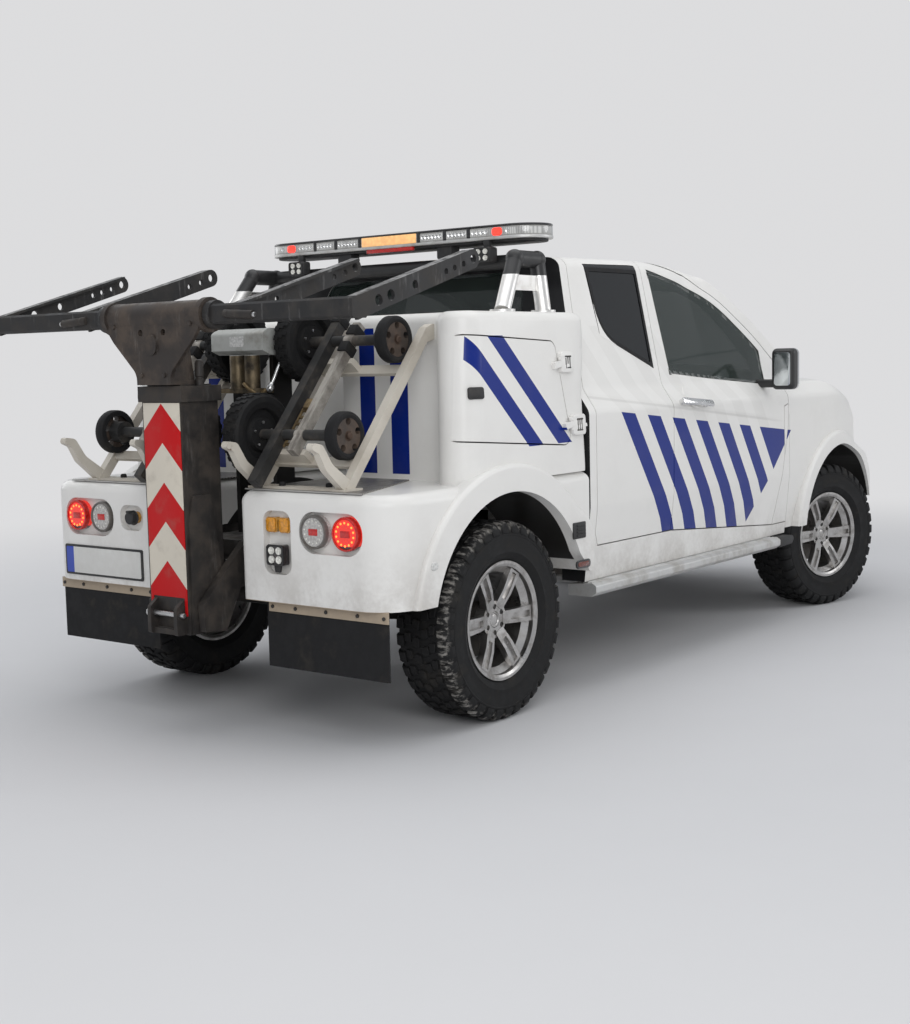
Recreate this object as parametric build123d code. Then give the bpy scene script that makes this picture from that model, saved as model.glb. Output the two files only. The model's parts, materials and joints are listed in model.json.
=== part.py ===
from build123d import *
import math
import os

os.makedirs("parts", exist_ok=True)

# Millimetres. While a piece is drawn, X runs forward from the rear axle, Y to the left and Z up
# from the ground. Pieces are moved together at the end, so that the origin is under the middle.

# Overall sizes
wheelbase = 3095
front_overhang = 905
rear_overhang = 910
track = 1570
body_width = 1860
roof_height = 1800
roof_lamp_top = 1925
light_bar_x = 560
roll_tube_x = 500
edge_gap = 5
rest_gap = 0.3

# Wheels and steering
tyre_radius = 381
tyre_width = 255
rim_seat_radius = 217
flange_radius = 229
bead_half_width = 98
spoke_count = 6
rest_steer = 15
steer_axis_y = 665
arch_radius = 495
hub_face = 20
upright_low = 110
upright_high = 112
spring_y = 540
spring_half = 32
pinion_end = (215, 403)

# Cab
cab_back_x = 560
door_split_x = 1260
door_front_gap = 650
cab_floor_z = 455
floor_low_z = 640
floor_high_z = 660
sill_inner_y = 790
pillar_depth = 125
belt_z = 1180
cab_wall = 55
roof_rail = 55
gutter_y = 620
skin_flange = 6
skirt_depth = 20
flange_step = 24
glass_inset = 2
glass_thickness = 6
glass_lip = 14
screen_radius = 5000

# Pods behind the cab
pod_rear_x = -700
pod_front_x = 515
pod_bottom_z = 510
deck_z = 915
locker_top_z = 1550
channel_half = 205
pod_wall = 35
pod_cut_z = 735
locker_rear_x = -120

# Mast and head
mast_half = 105
mast_rear_x = -870
mast_depth = 180
mast_bottom_z = 390
mast_top_z = 1243
mast_wall = 10
mast_low_open_z = 650
collar_height = 57
cheek_depth = 8
pivot_radius = 20
slide_gap = 5
mast_pivot_x = -790
mast_pivot_z = 450
ram_foot = (-200, 560)
ram_eye = (-670, 540)
ram_rod_radius = 17
bed_low_z = 690
bed_high_z = 710
barrel_x = -855
barrel_z = 1550
barrel_radius = 55
barrel_half = 265
shaft_radius = 36
cradle_length = 680
strap_eye_radius = 16
tow_ear_in = 62
tow_ear_out = 80
tow_pin_radius = 10.5
cradle_rise = 16

front_axle_x = wheelbase
half_track = track / 2
half_body = body_width / 2
axle_z = tyre_radius
front_x = wheelbase + front_overhang
wheel_face_y = half_track + hub_face - rest_gap


def block(x0, x1, y0, y1, z0, z1):
    """A box between two corners."""
    size = (abs(x1 - x0), abs(y1 - y0), abs(z1 - z0))
    return Pos((x0 + x1) / 2, (y0 + y1) / 2, (z0 + z1) / 2) * Box(*size)


def rod(start, end, radius, bore=0):
    """A round bar or tube from one point to another."""
    start, end = Vector(*start), Vector(*end)
    plane = Plane(origin=start, z_dir=end - start)
    section = Circle(radius) - Circle(bore) if bore else Circle(radius)
    return extrude(plane * section, amount=(end - start).length)


def side_slab(points, y0, y1, radii=0):
    """A profile drawn in X and Z, made solid between two Y values."""
    return extrude(side_face(points, radii, y0), amount=y1 - y0, dir=(0, 1, 0))


def side_face(points, radii=0, y=0):
    plane = Plane(origin=(0, y, 0), x_dir=(1, 0, 0), z_dir=(0, -1, 0))
    return plane * outline(points, radii)


def front_slab(points, x0, x1, radii=0):
    """A profile drawn in Y and Z, made solid between two X values."""
    plane = Plane(origin=(x0, 0, 0), x_dir=(0, 1, 0), z_dir=(1, 0, 0))
    return extrude(plane * outline(points, radii), amount=x1 - x0, dir=(1, 0, 0))


def plan_slab(points, z0, z1, radii=0, inset=0, taper=0):
    """A profile drawn in X and Y, made solid between two heights."""
    face = outline(points, radii)
    if inset:
        face = offset(face, amount=-inset, kind=Kind.INTERSECTION)
    return extrude(Pos(0, 0, z0) * face, amount=z1 - z0, taper=taper)


def outline(points, radii=0):
    if not radii:
        return make_face(Polyline(*points, close=True))
    return make_face(FilletPolyline(*points, radius=radii, close=True))


def both_sides(right_piece):
    """The right-hand piece and its mirror image."""
    return right_piece + mirror(right_piece, about=Plane.XZ)


def placed_wheel(piece, x, side, steer=0):
    """Turns a wheel drawn with its outer face up, so that it faces out at its hub."""
    hub = Pos(0, side * half_track, 0) * Rot(-90 * side, 0, 0) * piece
    if steer:
        king = side * steer_axis_y
        hub = Pos(0, king, 0) * Rot(0, 0, -steer) * Pos(0, -king, 0) * hub
    return Pos(x, 0, axle_z) * hub


# Wheels

def tyre():
    r, b = tyre_radius, bead_half_width
    half = tyre_width / 2
    seat = rim_seat_radius + rest_gap
    # radius, half width: outer side from the bead to the tread, then the inner side back
    outer = [(seat, b), (231, b), (242, half - 14), (300, half), (r - 24, half - 7), (r, half - 28)]
    inner = [(r - 18, half - 42), (r - 34, half - 26), (300, half - 17), (246, half - 30), (seat, b - 14)]
    half_ring = outer + [(r, 0), (r - 18, 0)] + inner
    plane = Plane.XZ
    face = make_face(plane * Polyline(*half_ring, close=True))
    ring = revolve(face, axis=Axis.Z)
    return ring + mirror(ring, about=Plane.XY)


def alloy_wheel():
    b = bead_half_width + rest_gap
    seat, flange = rim_seat_radius, flange_radius
    # half width, radius: outside from the flange to the well, then the inside back
    half_barrel = [
        (0, 192), (58, 192), (78, seat), (b, seat), (b, flange), (b + 8, flange),
        (b + 8, 218), (b + 2, seat - 9), (80, seat - 9), (60, 184), (0, 184),
    ]
    face = make_face(Plane.XZ * Polyline(*[(radius, width) for width, radius in half_barrel], close=True))
    barrel = revolve(face, axis=Axis.Z)
    barrel += mirror(barrel, about=Plane.XY)
    hub = Pos(0, 0, 42) * Cylinder(72, 44) - Pos(0, 0, 60) * Cylinder(31, 12)
    side = [(50, 30), (50, 66), (120, 84), (205, 92), (205, 66), (120, 54)]
    spoke = extrude(Plane.XZ * make_face(Polyline(*side, close=True)), amount=32, both=True)
    spoke &= plan_slab([(40, -24), (206, -31), (206, 31), (40, 24)], 0, 120)
    groove = [(88, 64), (196, 80), (196, 110), (88, 110)]
    spoke -= extrude(Plane.XZ * make_face(Polyline(*groove, close=True)), amount=13, both=True)
    wheel = barrel + hub
    for step in range(spoke_count):
        wheel += Rot(0, 0, step * 360 / spoke_count) * spoke
    for step in range(spoke_count):
        wheel -= Rot(0, 0, (step + 0.5) * 360 / spoke_count) * Pos(50, 0, 60) * Cylinder(10, 14)
    return wheel


def hub_carrier(side):
    """Brake, stub and upright behind one front wheel, drawn straight ahead."""
    hub_y = half_track
    inner_y = steer_axis_y
    disc_in, disc_out = hub_y - 62, hub_y - 38
    carrier = rod((0, inner_y - 20, 0), (0, wheel_face_y, 0), 30)
    carrier += rod((0, disc_in, 0), (0, disc_out, 0), 150)
    carrier += rod((0, disc_in, 0), (0, wheel_face_y, 0), 66)
    carrier += block(-24, 24, inner_y - 22, inner_y + 22, -upright_low, upright_high)
    carrier += block(-45, 45, inner_y - 18, inner_y + 30, -50, 50)
    carrier += block(-150, 0, inner_y - 22, inner_y + 2, -75, -55)
    caliper = block(70, 165, disc_in - 28, disc_out + 16, -60, 60)
    caliper -= rod((0, disc_in - 4, 0), (0, disc_out + 4, 0), 152)
    carrier += caliper + block(20, 100, inner_y + 10, disc_in - 10, -30, 30)
    if side < 0:
        carrier = mirror(carrier, about=Plane.XZ)
    king = side * inner_y
    carrier = Pos(0, king, 0) * Rot(0, 0, -rest_steer) * Pos(0, -king, 0) * carrier
    return Pos(front_axle_x, 0, axle_z) * carrier


# Chassis and what it carries

rail_y = 390
rail_width = 70
rail_low_z = 500
rail_high_z = 620
hump_rise = 80
spring_tip_z = 560
engine_half = 260
engine_rear_x = wheelbase - 330
shaft_end = (wheelbase - 1000, 540)


def chassis_frame():
    """Ladder frame that rises over the rear axle, with its cross members and what it carries others on."""
    rear_x, nose_x = -650, front_x - 235
    low, high = rail_low_z, rail_high_z
    rail = [
        (rear_x, low + hump_rise), (rear_x, high + hump_rise), (340, high + hump_rise), (620, high), (nose_x, high),
        (nose_x, low), (640, low), (360, low + hump_rise),
    ]
    inner, outer = rail_y - rail_width / 2, rail_y + rail_width / 2
    frame = both_sides(side_slab(rail, inner, outer))
    # x, lower z, length, height
    members = [
        (-500, 620, 60, 70), (420, 620, 70, 70), (1150, 545, 90, 60), (1700, 555, 90, 60),
        (front_axle_x - 275, 500, 90, 60), (front_axle_x + 330, 500, 90, 60), (front_x - 290, 520, 70, 80),
    ]
    for x, z, long, tall in members:
        frame += block(x - long / 2, x + long / 2, -inner, inner, z, z + tall)
    # middle x, length, y range, z range: spring hangers, pod bearers, engine mounts, axle saddles
    hanger_low, spring_out = spring_tip_z + rest_gap, spring_y + spring_half
    carriers = [
        (-625, 46, outer - 1, spring_out, hanger_low, 640), (645, 46, outer - 1, spring_out, hanger_low, 615),
        (-270, 60, channel_half - 5, inner + 1, high + hump_rise - 10, pod_cut_z - rest_gap),
        (280, 60, channel_half - 5, inner + 1, high + hump_rise - 10, pod_cut_z - rest_gap),
        (front_axle_x, 80, engine_half + rest_gap, inner + 1, 560, 612),
        (front_axle_x, 120, inner - 55, rail_y, axle_z + 60 + rest_gap, low + 1),
    ]
    for x, long, y0, y1, z0, z1 in carriers:
        frame += both_sides(block(x - long / 2, x + long / 2, -y1, -y0, z0, z1))
    for x in (800, 1500, 2200):
        frame += both_sides(rod((x, -rail_y, high - 1), (x, -rail_y, floor_low_z - rest_gap), 45))
    return frame


def engine_block():
    return block(engine_rear_x, front_axle_x + 290, -engine_half, engine_half, 600, 1010)


def driveline():
    """Gearbox and propeller shaft, and the exhaust that runs beside them."""
    gearbox_rear, gearbox_front = shaft_end[0], engine_rear_x - rest_gap
    gearbox = front_slab([(-130, 470), (130, 470), (130, 760), (-130, 760)], gearbox_rear, gearbox_front)
    gearbox = chamfer(gearbox.edges().filter_by(Axis.X), 40)
    start = (pinion_end[0] + 1.4, 0, pinion_end[1] + 0.1)
    shaft = rod(start, (shaft_end[0], 0, shaft_end[1]), 38)
    pipe_y, pipe_z, manifold_x = -300, 410, front_axle_x - 700
    exhaust = rod((300, pipe_y, pipe_z), (manifold_x, pipe_y, pipe_z), 30)
    exhaust += rod((1250, pipe_y, pipe_z), (1850, pipe_y, pipe_z), 75)
    exhaust += rod((manifold_x - 30, pipe_y, pipe_z), (manifold_x - 30, -120, 600), 25)
    return gearbox + shaft + exhaust


def rear_axle():
    """Axle tube with its differential, drums, leaf springs and dampers."""
    face = half_track - 60
    axle = rod((0, -face, axle_z), (0, face, axle_z), 42)
    axle += Pos(0, 0, axle_z) * Sphere(150)
    axle += rod((0, 0, axle_z), (pinion_end[0], 0, pinion_end[1]), 45)
    tip, leaf = spring_tip_z, 20
    upper = [(-650, tip), (-600, tip), (-300, 430), (0, 395), (300, 430), (620, tip), (670, tip)]
    lower = [(670, tip - leaf), (610, tip - leaf), (300, 405), (0, 355), (-300, 405), (-590, tip - leaf),
             (-650, tip - leaf)]
    for side in (-1, 1):
        drum = rod((0, side * (half_track - 75), axle_z), (0, side * wheel_face_y, axle_z), 150)
        drum -= rod((0, side * (half_track - 20), axle_z), (0, side * (half_track + hub_face), axle_z), 151, 66)
        axle += drum
        axle += side_slab(upper + lower, side * spring_y - spring_half, side * spring_y + spring_half)
        axle += rod((130, side * 500, 400), (300, side * 500, 600), 32)
    return axle


def front_suspension():
    """Cross member, arms that end in a ball on the steering axis, struts and drive shafts."""
    z = axle_z
    inner_y = rail_y - rail_width / 2 - rest_gap
    piece = block(front_axle_x - 120, front_axle_x + 120, -inner_y, inner_y, z - 60, z + 60)
    # height at the cross member, height of the ball, arm radius, ball radius
    arms = [(-60, -upright_low - 30 - rest_gap, 20, 30), (60, upright_high + 26 + rest_gap, 16, 26)]
    for side in (-1, 1):
        for inner_z, ball_z, radius, ball_radius in arms:
            ball = (front_axle_x, side * steer_axis_y, z + ball_z)
            for lean in (-1, 1):
                piece += rod((front_axle_x + lean * 100, side * 330, z + inner_z), ball, radius)
            piece += Pos(*ball) * Sphere(ball_radius)
        piece += rod((front_axle_x, side * 320, z), (front_axle_x, side * (steer_axis_y - 55), z), 24)
        piece += rod((front_axle_x + 30, side * 485, z - 45), (front_axle_x + 30, side * 485, z + 320), 36)
    return piece


def fuel_tank():
    tank = block(1300, 2050, 90, rail_y + 10, 330, rail_low_z - rest_gap)
    return fillet(tank.edges().filter_by(Axis.X), 25)


# Cab

door_front_x = wheelbase - door_front_gap
firewall_x = wheelbase - 645
screen_top = (wheelbase - 1165, roof_height - 48)
screen_base = (wheelbase - 255, 1235)


def cab_profile():
    """Side view: back wall, roof, windscreen, firewall."""
    return [
        (cab_back_x, cab_floor_z), (cab_back_x + 15, 1250), (cab_back_x + 130, roof_height - 10),
        (1280, roof_height), screen_top, screen_base, (wheelbase - 315, 1140), (firewall_x, 1060),
        (firewall_x, cab_floor_z),
    ]


cab_profile_radii = [0, 0, 60, 900, 500, 0, 0, 0, 0]


def screen_axes():
    """Directions down the windscreen and square out of it."""
    slope = Vector(screen_base[0] - screen_top[0], 0, screen_base[1] - screen_top[1]).normalized()
    return slope, Vector(-slope.Z, 0, slope.X)


def cab_section():
    """View from ahead, right half: sill, door, belt, roof edge."""
    return [
        (half_body - 30, cab_floor_z), (half_body, 760), (half_body - 5, belt_z - 30), (half_body - 68, belt_z + 60),
        (715, roof_height - 75),
        (0, roof_height + 40),
    ]


def cab_form(inset):
    """The cab's solid outline, pulled in by a depth from its outer skin."""
    side = outline(cab_profile(), cab_profile_radii)
    if inset:
        side = offset(side, amount=-inset, kind=Kind.INTERSECTION)
    plane = Plane(origin=(0, -1000, 0), x_dir=(1, 0, 0), z_dir=(0, -1, 0))
    form = extrude(plane * side, amount=2000, dir=(0, 1, 0))
    half = cab_section()
    ring = half[:-1] + [(0, roof_height + 40)] + [(-y, z) for y, z in reversed(half[:-1])]
    ring_radii = [0, 200, 60, 90, 80, 0, 80, 90, 60, 200, 0]
    across = outline(ring, ring_radii)
    if inset:
        across = offset(across, amount=-inset, kind=Kind.INTERSECTION)
    plane = Plane(origin=(0, 0, 0), x_dir=(0, 1, 0), z_dir=(1, 0, 0))
    form &= extrude(plane * across, amount=4500, dir=(1, 0, 0))
    # A round front that follows the windscreen's slope and bows it across
    slope, normal = screen_axes()
    middle = Vector(screen_top[0], 0, screen_top[1]) - normal * screen_radius - slope * 3000
    bow = Plane(origin=middle, x_dir=(0, 1, 0), z_dir=slope) * Circle(screen_radius - inset)
    return form & extrude(bow, amount=6000)


def door_face(rear_line, front_line):
    """The area between two edge lines, inside the roof rail and above the sill."""
    face = make_face(Polyline(*rear_line, *reversed(front_line), close=True))
    rim = offset(outline(cab_profile(), cab_profile_radii), amount=-roof_rail, kind=Kind.INTERSECTION)
    slope, normal = screen_axes()
    top = Vector(screen_top[0], 0, screen_top[1]) - normal * pillar_depth
    ends = [top - slope * 3000, top + slope * 3000]
    ends += [point - normal * 4000 for point in reversed(ends)]
    behind_pillar = make_face(Polyline(*[(point.X, point.Z) for point in ends], close=True))
    return face & rim & behind_pillar


split_line = [(door_split_x - 10, 598), (door_split_x + 17, 1275), (door_split_x + 95, 1900)]
access_line = [(cab_back_x + 82, 600), (cab_back_x + 45, 680), (cab_back_x + 32, belt_z), (cab_back_x + 62, 1320),
               (cab_back_x + 150, 1900)]
front_line = [(door_front_x - 155, 515), (door_front_x - 5, 1000), (door_front_x, 1190), (door_front_x - 10, 1900)]


def access_face():
    return door_face(access_line, [(x - edge_gap / 2, z) for x, z in split_line])


def front_face():
    return door_face([(x + edge_gap / 2, z) for x, z in split_line], front_line)


def skirt_face():
    """The part of each front wing that runs back over the pillar to the door's slanted edge."""
    rear = [(x + edge_gap, z) for x, z in front_line[:3]]
    join_x = firewall_x + edge_gap + 1
    return make_face(Polyline(*rear, (join_x, rear[-1][1]), (join_x, rear[0][1]), close=True))


def access_window():
    corners = [(870, 1450), (door_split_x, 1318), (door_split_x + 40, 1900), (870, 1900)]
    return offset(access_face(), amount=-50, kind=Kind.INTERSECTION) & make_face(Polyline(*corners, close=True))


def front_window():
    corners = [(door_split_x + 125, 1297), (door_front_x - 160, 1228), (door_front_x - 120, 1900),
               (door_split_x + 150, 1900)]
    return offset(front_face(), amount=-50, kind=Kind.INTERSECTION) & make_face(Polyline(*corners, close=True))


def across(face, side, grow=0):
    """A side-view face made solid from the middle of the cab out past one side."""
    if grow:
        face = offset(face, amount=grow, kind=Kind.INTERSECTION)
    plane = Plane(origin=(0, side * (gutter_y - grow), 0), x_dir=(1, 0, 0), z_dir=(0, -1, 0))
    return extrude(plane * face, amount=900, dir=(0, side, 0))


def skirt_zone(side, grow=0):
    return across(skirt_face(), side, grow) & block(0, 6000, side * (780 - grow), side * 1000, 0, 2000)


skin = cab_form(0)
under_skin = cab_form(skin_flange)
under_skirt = cab_form(skirt_depth)
under_glass = cab_form(glass_inset + glass_thickness)
over_glass = cab_form(glass_inset)
door_back = cab_form(cab_wall)

screen_zone = [(wheelbase - 1120, -600), (wheelbase - 385, -690), (wheelbase - 385, 690), (wheelbase - 1120, 600)]
back_window = [(-560, 1290), (560, 1290), (540, 1660), (-540, 1660)]


def pane(zone):
    """Glass that follows the skin's curve inside a zone."""
    return (over_glass - under_glass) & zone


def rebated(shell, opening, seat):
    """Cuts a window right through, and a seat for its glass in the outer face."""
    return shell - opening - (seat - under_glass)


def screen_solid(grow):
    face = offset(outline(screen_zone), amount=grow, kind=Kind.INTERSECTION)
    return extrude(Pos(0, 0, 1255) * face, amount=700)


def back_solid(grow):
    face = offset(outline(back_window, 60), amount=grow, kind=Kind.INTERSECTION)
    plane = Plane(origin=(cab_back_x - 50, 0, 0), x_dir=(0, 1, 0), z_dir=(1, 0, 0))
    return extrude(plane * face, amount=400, dir=(1, 0, 0))


def cab_shell():
    """Roof, pillars, sills, floor and bulkheads, with the door and window openings cut."""
    shell = skin - (door_back & block(0, 6000, -1000, 1000, floor_high_z, 2000))
    shell -= block(0, 6000, -sill_inner_y, sill_inner_y, 0, floor_low_z)
    for side in (-1, 1):
        shell -= block(firewall_x, 6000, side * 775, side * 1000, 0, 1245)
    shell = rebated(shell, screen_solid(0), screen_solid(glass_lip))
    shell = rebated(shell, back_solid(0), back_solid(glass_lip))
    for side in (-1, 1):
        for face in (access_face(), front_face()):
            shell -= across(face, side, edge_gap) - door_back
        shell -= skirt_zone(side, edge_gap) - under_skirt
    tunnel = [(-190, floor_low_z), (190, floor_low_z), (175, 800), (-175, 800)]
    hollow = [(-165, 0), (165, 0), (150, 780), (-150, 780)]
    shell += front_slab(tunnel, cab_back_x + 30, firewall_x)
    shell -= front_slab(hollow, cab_back_x - 50, firewall_x + 10)
    return shell + both_sides(bonnet_bracket())


def cab_glass():
    return [pane(screen_solid(glass_lip - rest_gap)), pane(back_solid(glass_lip - rest_gap))]


def door(face, window, side):
    """A door as deep as the cab's wall: a thin outer flange round a stepped-in body."""
    leaf = (skin - under_skin) & across(face, side)
    body = (under_skin - door_back) & across(face, side, -flange_step)
    panel = leaf + body
    seat = across(window, side, glass_lip)
    return panel - across(window, side) - (seat - under_glass)


def door_pane(window, side):
    return pane(across(window, side, glass_lip - rest_gap))


def mirror_arm(side):
    """Door mirror: a rounded housing with its glass recess, on a short foot that follows the door's skin."""
    x = door_front_x - 215
    head = block(x - 45, x + 45, side * (half_body + 20), side * (half_body + 140), 1190, 1390)
    head = fillet(head.edges(), 26)
    head -= block(x - 60, x - 39, side * (half_body + 34), side * (half_body + 126), 1205, 1375)
    foot = block(x - 30, x + 30, side * (half_body - 90), side * (half_body + 60), 1200, 1240)
    foot = fillet(foot.edges().filter_by(Axis.Y), 15)
    return head + (foot - Pos(0, side * rest_gap, 0) * skin)


# Bonnet, wings, bumper and lamps in front of the cab

bonnet_rear_x = wheelbase - 220
bonnet_pin = (bonnet_rear_x + 10, 1190)
bonnet_pin_y = 574
nose_wall = 45


def nose_form(inset):
    """The front body's solid outline, pulled in by a depth."""
    side = [
        (firewall_x + edge_gap, 480), (firewall_x + edge_gap, 1240), (wheelbase - 250, 1240), (wheelbase + 155, 1165),
        (front_x - 470, 1085), (front_x - 215, 985), (front_x - 40, 800), (front_x, 650), (front_x, 520),
        (front_x - 20, 400), (front_x - 110, 290), (front_x - 450, 290), (front_x - 450, 480),
    ]
    side_radii = [0, 0, 300, 600, 500, 200, 150, 100, 100, 60, 40, 0, 0]
    face = outline(side, side_radii)
    if inset:
        face = offset(face, amount=-inset, kind=Kind.INTERSECTION)
    plane = Plane(origin=(0, -1000, 0), x_dir=(1, 0, 0), z_dir=(0, -1, 0))
    form = extrude(plane * face, amount=2000, dir=(0, 1, 0))
    half = [(half_body - 70, 280), (half_body - 30, cab_floor_z), (half_body, 760), (half_body - 5, belt_z - 30),
            (half_body - 75, 1222), (700, 1250)]
    ring = half + [(0, 1320)] + [(-y, z) for y, z in reversed(half)]
    ring_radii = [0, 100, 200, 60, 70, 100, 0, 100, 70, 60, 200, 100, 0]
    section = outline(ring, ring_radii)
    if inset:
        section = offset(section, amount=-inset, kind=Kind.INTERSECTION)
    plane = Plane(origin=(0, 0, 0), x_dir=(0, 1, 0), z_dir=(1, 0, 0))
    form &= extrude(plane * section, amount=5000, dir=(1, 0, 0))
    plan = [(firewall_x, -half_body), (front_x - 420, -half_body + 10), (front_x - 120, -610), (front_x, -70)]
    plan += [(x, -y) for x, y in reversed(plan)]
    plan_radii = [0, 260, 500, 500, 500, 500, 260, 0]
    return form & plan_slab(plan, 200, 1400, plan_radii, inset)


nose_skin = nose_form(0)
nose_back = nose_form(nose_wall)
bonnet_back = nose_form(22)


def bonnet_zone(grow=0):
    zone = [(bonnet_rear_x, -700), (front_x - 480, -735), (front_x - 200, -600), (front_x - 120, 0)]
    zone += [(x, -y) for x, y in reversed(zone[:-1])]
    return plan_slab(zone, 930 - grow, 1400, [0, 200, 200, 800, 200, 200, 0], -grow)


bumper_top_z = 690
lamp_low_z = 820
grille_half = 500


def bonnet_bracket():
    """Arm from the scuttle with the pin that the bonnet's lug turns on."""
    x, z = bonnet_pin
    outer, inner = -bonnet_pin_y - 13, -bonnet_pin_y - rest_gap
    arm = block(x - 135, x + 12, outer, inner, z - 30, z - 18) + block(x - 12, x + 12, outer, inner, z - 30, z)
    arm += rod((x, outer, z), (x, inner, z), 12)
    return arm + rod((x, outer, z), (x, -bonnet_pin_y + 14, z), 5)


def bonnet():
    panel = (nose_skin - bonnet_back) & bonnet_zone()
    x, z = bonnet_pin
    lug = rod((x, -bonnet_pin_y, z), (x, -bonnet_pin_y + 14, z), 12)
    lug += block(x - 12, x + 12, -bonnet_pin_y, -bonnet_pin_y + 14, z, z + 26)
    lug -= rod((x, -bonnet_pin_y - 1, z), (x, -bonnet_pin_y + 15, z), 5 + rest_gap)
    return panel + both_sides(lug)


def lamp_zone(grow=0):
    lamp = [(grille_half + 12 - grow, lamp_low_z - grow), (grille_half + 12 - grow, 935 + grow), (1000, 985 + grow),
            (1000, lamp_low_z + 30 - grow)]
    zone = front_slab(lamp, front_x - 430 - grow, front_x)
    return both_sides(zone) - bonnet_zone(edge_gap)


def grille_zone(grow=0):
    opening = [(-grille_half - grow, 745 - grow), (grille_half + grow, 745 - grow), (grille_half + grow, 925 + grow),
               (-grille_half - grow, 925 + grow)]
    return front_slab(opening, front_x - 400, front_x + 10)


def flare(axle, side, band, low_z):
    """The raised band round a wheel arch, rounded at its outer edge."""
    x, z = axle
    outer_y = half_body + 22
    lip = rod((x, side * (half_body - 40), z), (x, side * outer_y, z), arch_radius + band)
    rim = lip.edges().filter_by(GeomType.CIRCLE).sort_by(Axis.Y)[0 if side < 0 else -1]
    lip = fillet(rim, 18) - rod((x, side * (half_body - 41), z), (x, side * (outer_y + 1), z), arch_radius)
    return lip - block(x - 1000, x + 1000, -1100, 1100, z - 1000, low_z)


def front_wings():
    """Outer wings with arches, wheelhouses and inner panels, and the nose panel between them."""
    axle = (front_axle_x, axle_z)
    shell = nose_skin - nose_back
    shell -= bonnet_zone(edge_gap)
    shell -= lamp_zone(rest_gap) + grille_zone(rest_gap)
    shell -= block(firewall_x - 10, bonnet_rear_x + edge_gap, -780, 780, 400, 1400)
    shell -= rod((axle[0], -1000, axle[1]), (axle[0], 1000, axle[1]), arch_radius)
    apron_y = rail_y + rail_width / 2 + rest_gap
    for side in (-1, 1):
        liner = rod((axle[0], side * apron_y, axle[1]), (axle[0], side * (half_body - 30), axle[1]),
                    arch_radius + 14, arch_radius)
        liner -= block(0, 6000, -1000, 1000, -500, 560)
        apron = block(firewall_x + 60, front_x - 480, side * apron_y, side * (apron_y + 15), 590, 1000)
        skirt = skirt_zone(side) & (skin - under_skirt)
        lip = flare(axle, side, 75, 480) & block(firewall_x, front_x - 370, -1100, 1100, 0, 1200)
        shell += liner + lip + apron + Pos(0, side * rest_gap, 0) * skirt
    return shell - block(front_x - 440, front_x + 10, -1000, 1000, 0, bumper_top_z)


def front_bumper():
    shell = (nose_skin - nose_back) & block(front_x - 440, front_x + 10, -1000, 1000, 200, bumper_top_z - edge_gap)
    shell -= rod((front_axle_x, -1000, axle_z), (front_axle_x, 1000, axle_z), arch_radius)
    intake = front_slab([(-430, 420), (430, 420), (470, 560), (-470, 560)], front_x - 300, front_x + 10)
    shell -= intake
    shell -= block(front_x - 460, front_x - 385, -780, 780, 200, 700)
    for side in (-1, 1):
        shell -= rod((front_x - 400, side * 650, 480), (front_x + 10, side * 650, 480), 55)
    return shell


def grille():
    frame = (nose_skin - nose_back) & grille_zone()
    bars = frame
    for z in (772, 818, 864):
        bars -= front_slab([(-grille_half + 22, z), (grille_half - 22, z), (grille_half - 22, z + 30),
                            (-grille_half + 22, z + 30)], front_x - 400, front_x + 10)
    return bars


def headlamps():
    return (nose_skin - nose_back) & lamp_zone()


# Inside the cab

def seats():
    """Two front seats and the short bench behind, as plain closed forms."""
    pieces = []
    seat_top, back_top = 920, 1440
    for side in (-1, 1):
        inner, outer = side * 150, side * 640
        pieces.append(block(1440 + rest_gap, 1950, inner, outer, 800, seat_top))
        back = [(1320, 880), (1440, 880), (1300, back_top), (1200, back_top)]
        pieces.append(side_slab(back, *sorted((inner, outer))))
        head = [(1205, back_top + rest_gap), (1290, back_top + rest_gap), (1262, 1600), (1180, 1600)]
        pieces.append(side_slab(head, *sorted((side * 280, side * 520))))
        bench_y, bench_out = side * 200, side * 680
        pieces.append(block(780 + rest_gap, 1120, bench_y, bench_out, 760, 850))
        rest = [(690, 760), (780, 760), (750, 1280), (700, 1280)]
        pieces.append(side_slab(rest, *sorted((bench_y, bench_out))))
    return pieces


def seat_frames():
    pieces = []
    low = floor_high_z + rest_gap
    for side in (-1, 1):
        pieces.append(block(1500, 1930, side * 190, side * 600, low, 800 - rest_gap))
        pieces.append(block(700, 1100, side * 210, side * 660, low, 760 - rest_gap))
    return pieces


def dashboard():
    front = firewall_x - cab_wall - rest_gap
    section = [(front, 810), (front, 1040), (firewall_x - 90, 1110), (firewall_x - 250, 1120),
               (firewall_x - 420, 1050), (firewall_x - 430, 980), (firewall_x - 300, 830)]
    radii = [0, 0, 0, 40, 60, 30, 60]
    top = side_slab(section, -780, 780, radii)
    return top & cab_form(cab_wall + rest_gap)


wheel_centre = (firewall_x - 490, 370, 1120)


def steering_wheel():
    lean = Plane(origin=wheel_centre, z_dir=(-0.88, 0, 0.47))
    rim = lean * Torus(185, 15)
    hub = lean * Pos(0, 0, -20) * Cylinder(48, 40)
    spoke = lean * Pos(0, 0, -12) * Box(352, 34, 14)
    column = rod((wheel_centre[0] + 10, 370, wheel_centre[2] - 10), (firewall_x - 380, 370, 1062), 28)
    return rim + hub + spoke + column - Pos(-rest_gap, 0, 0) * dashboard()


# Pods behind the cab

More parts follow.
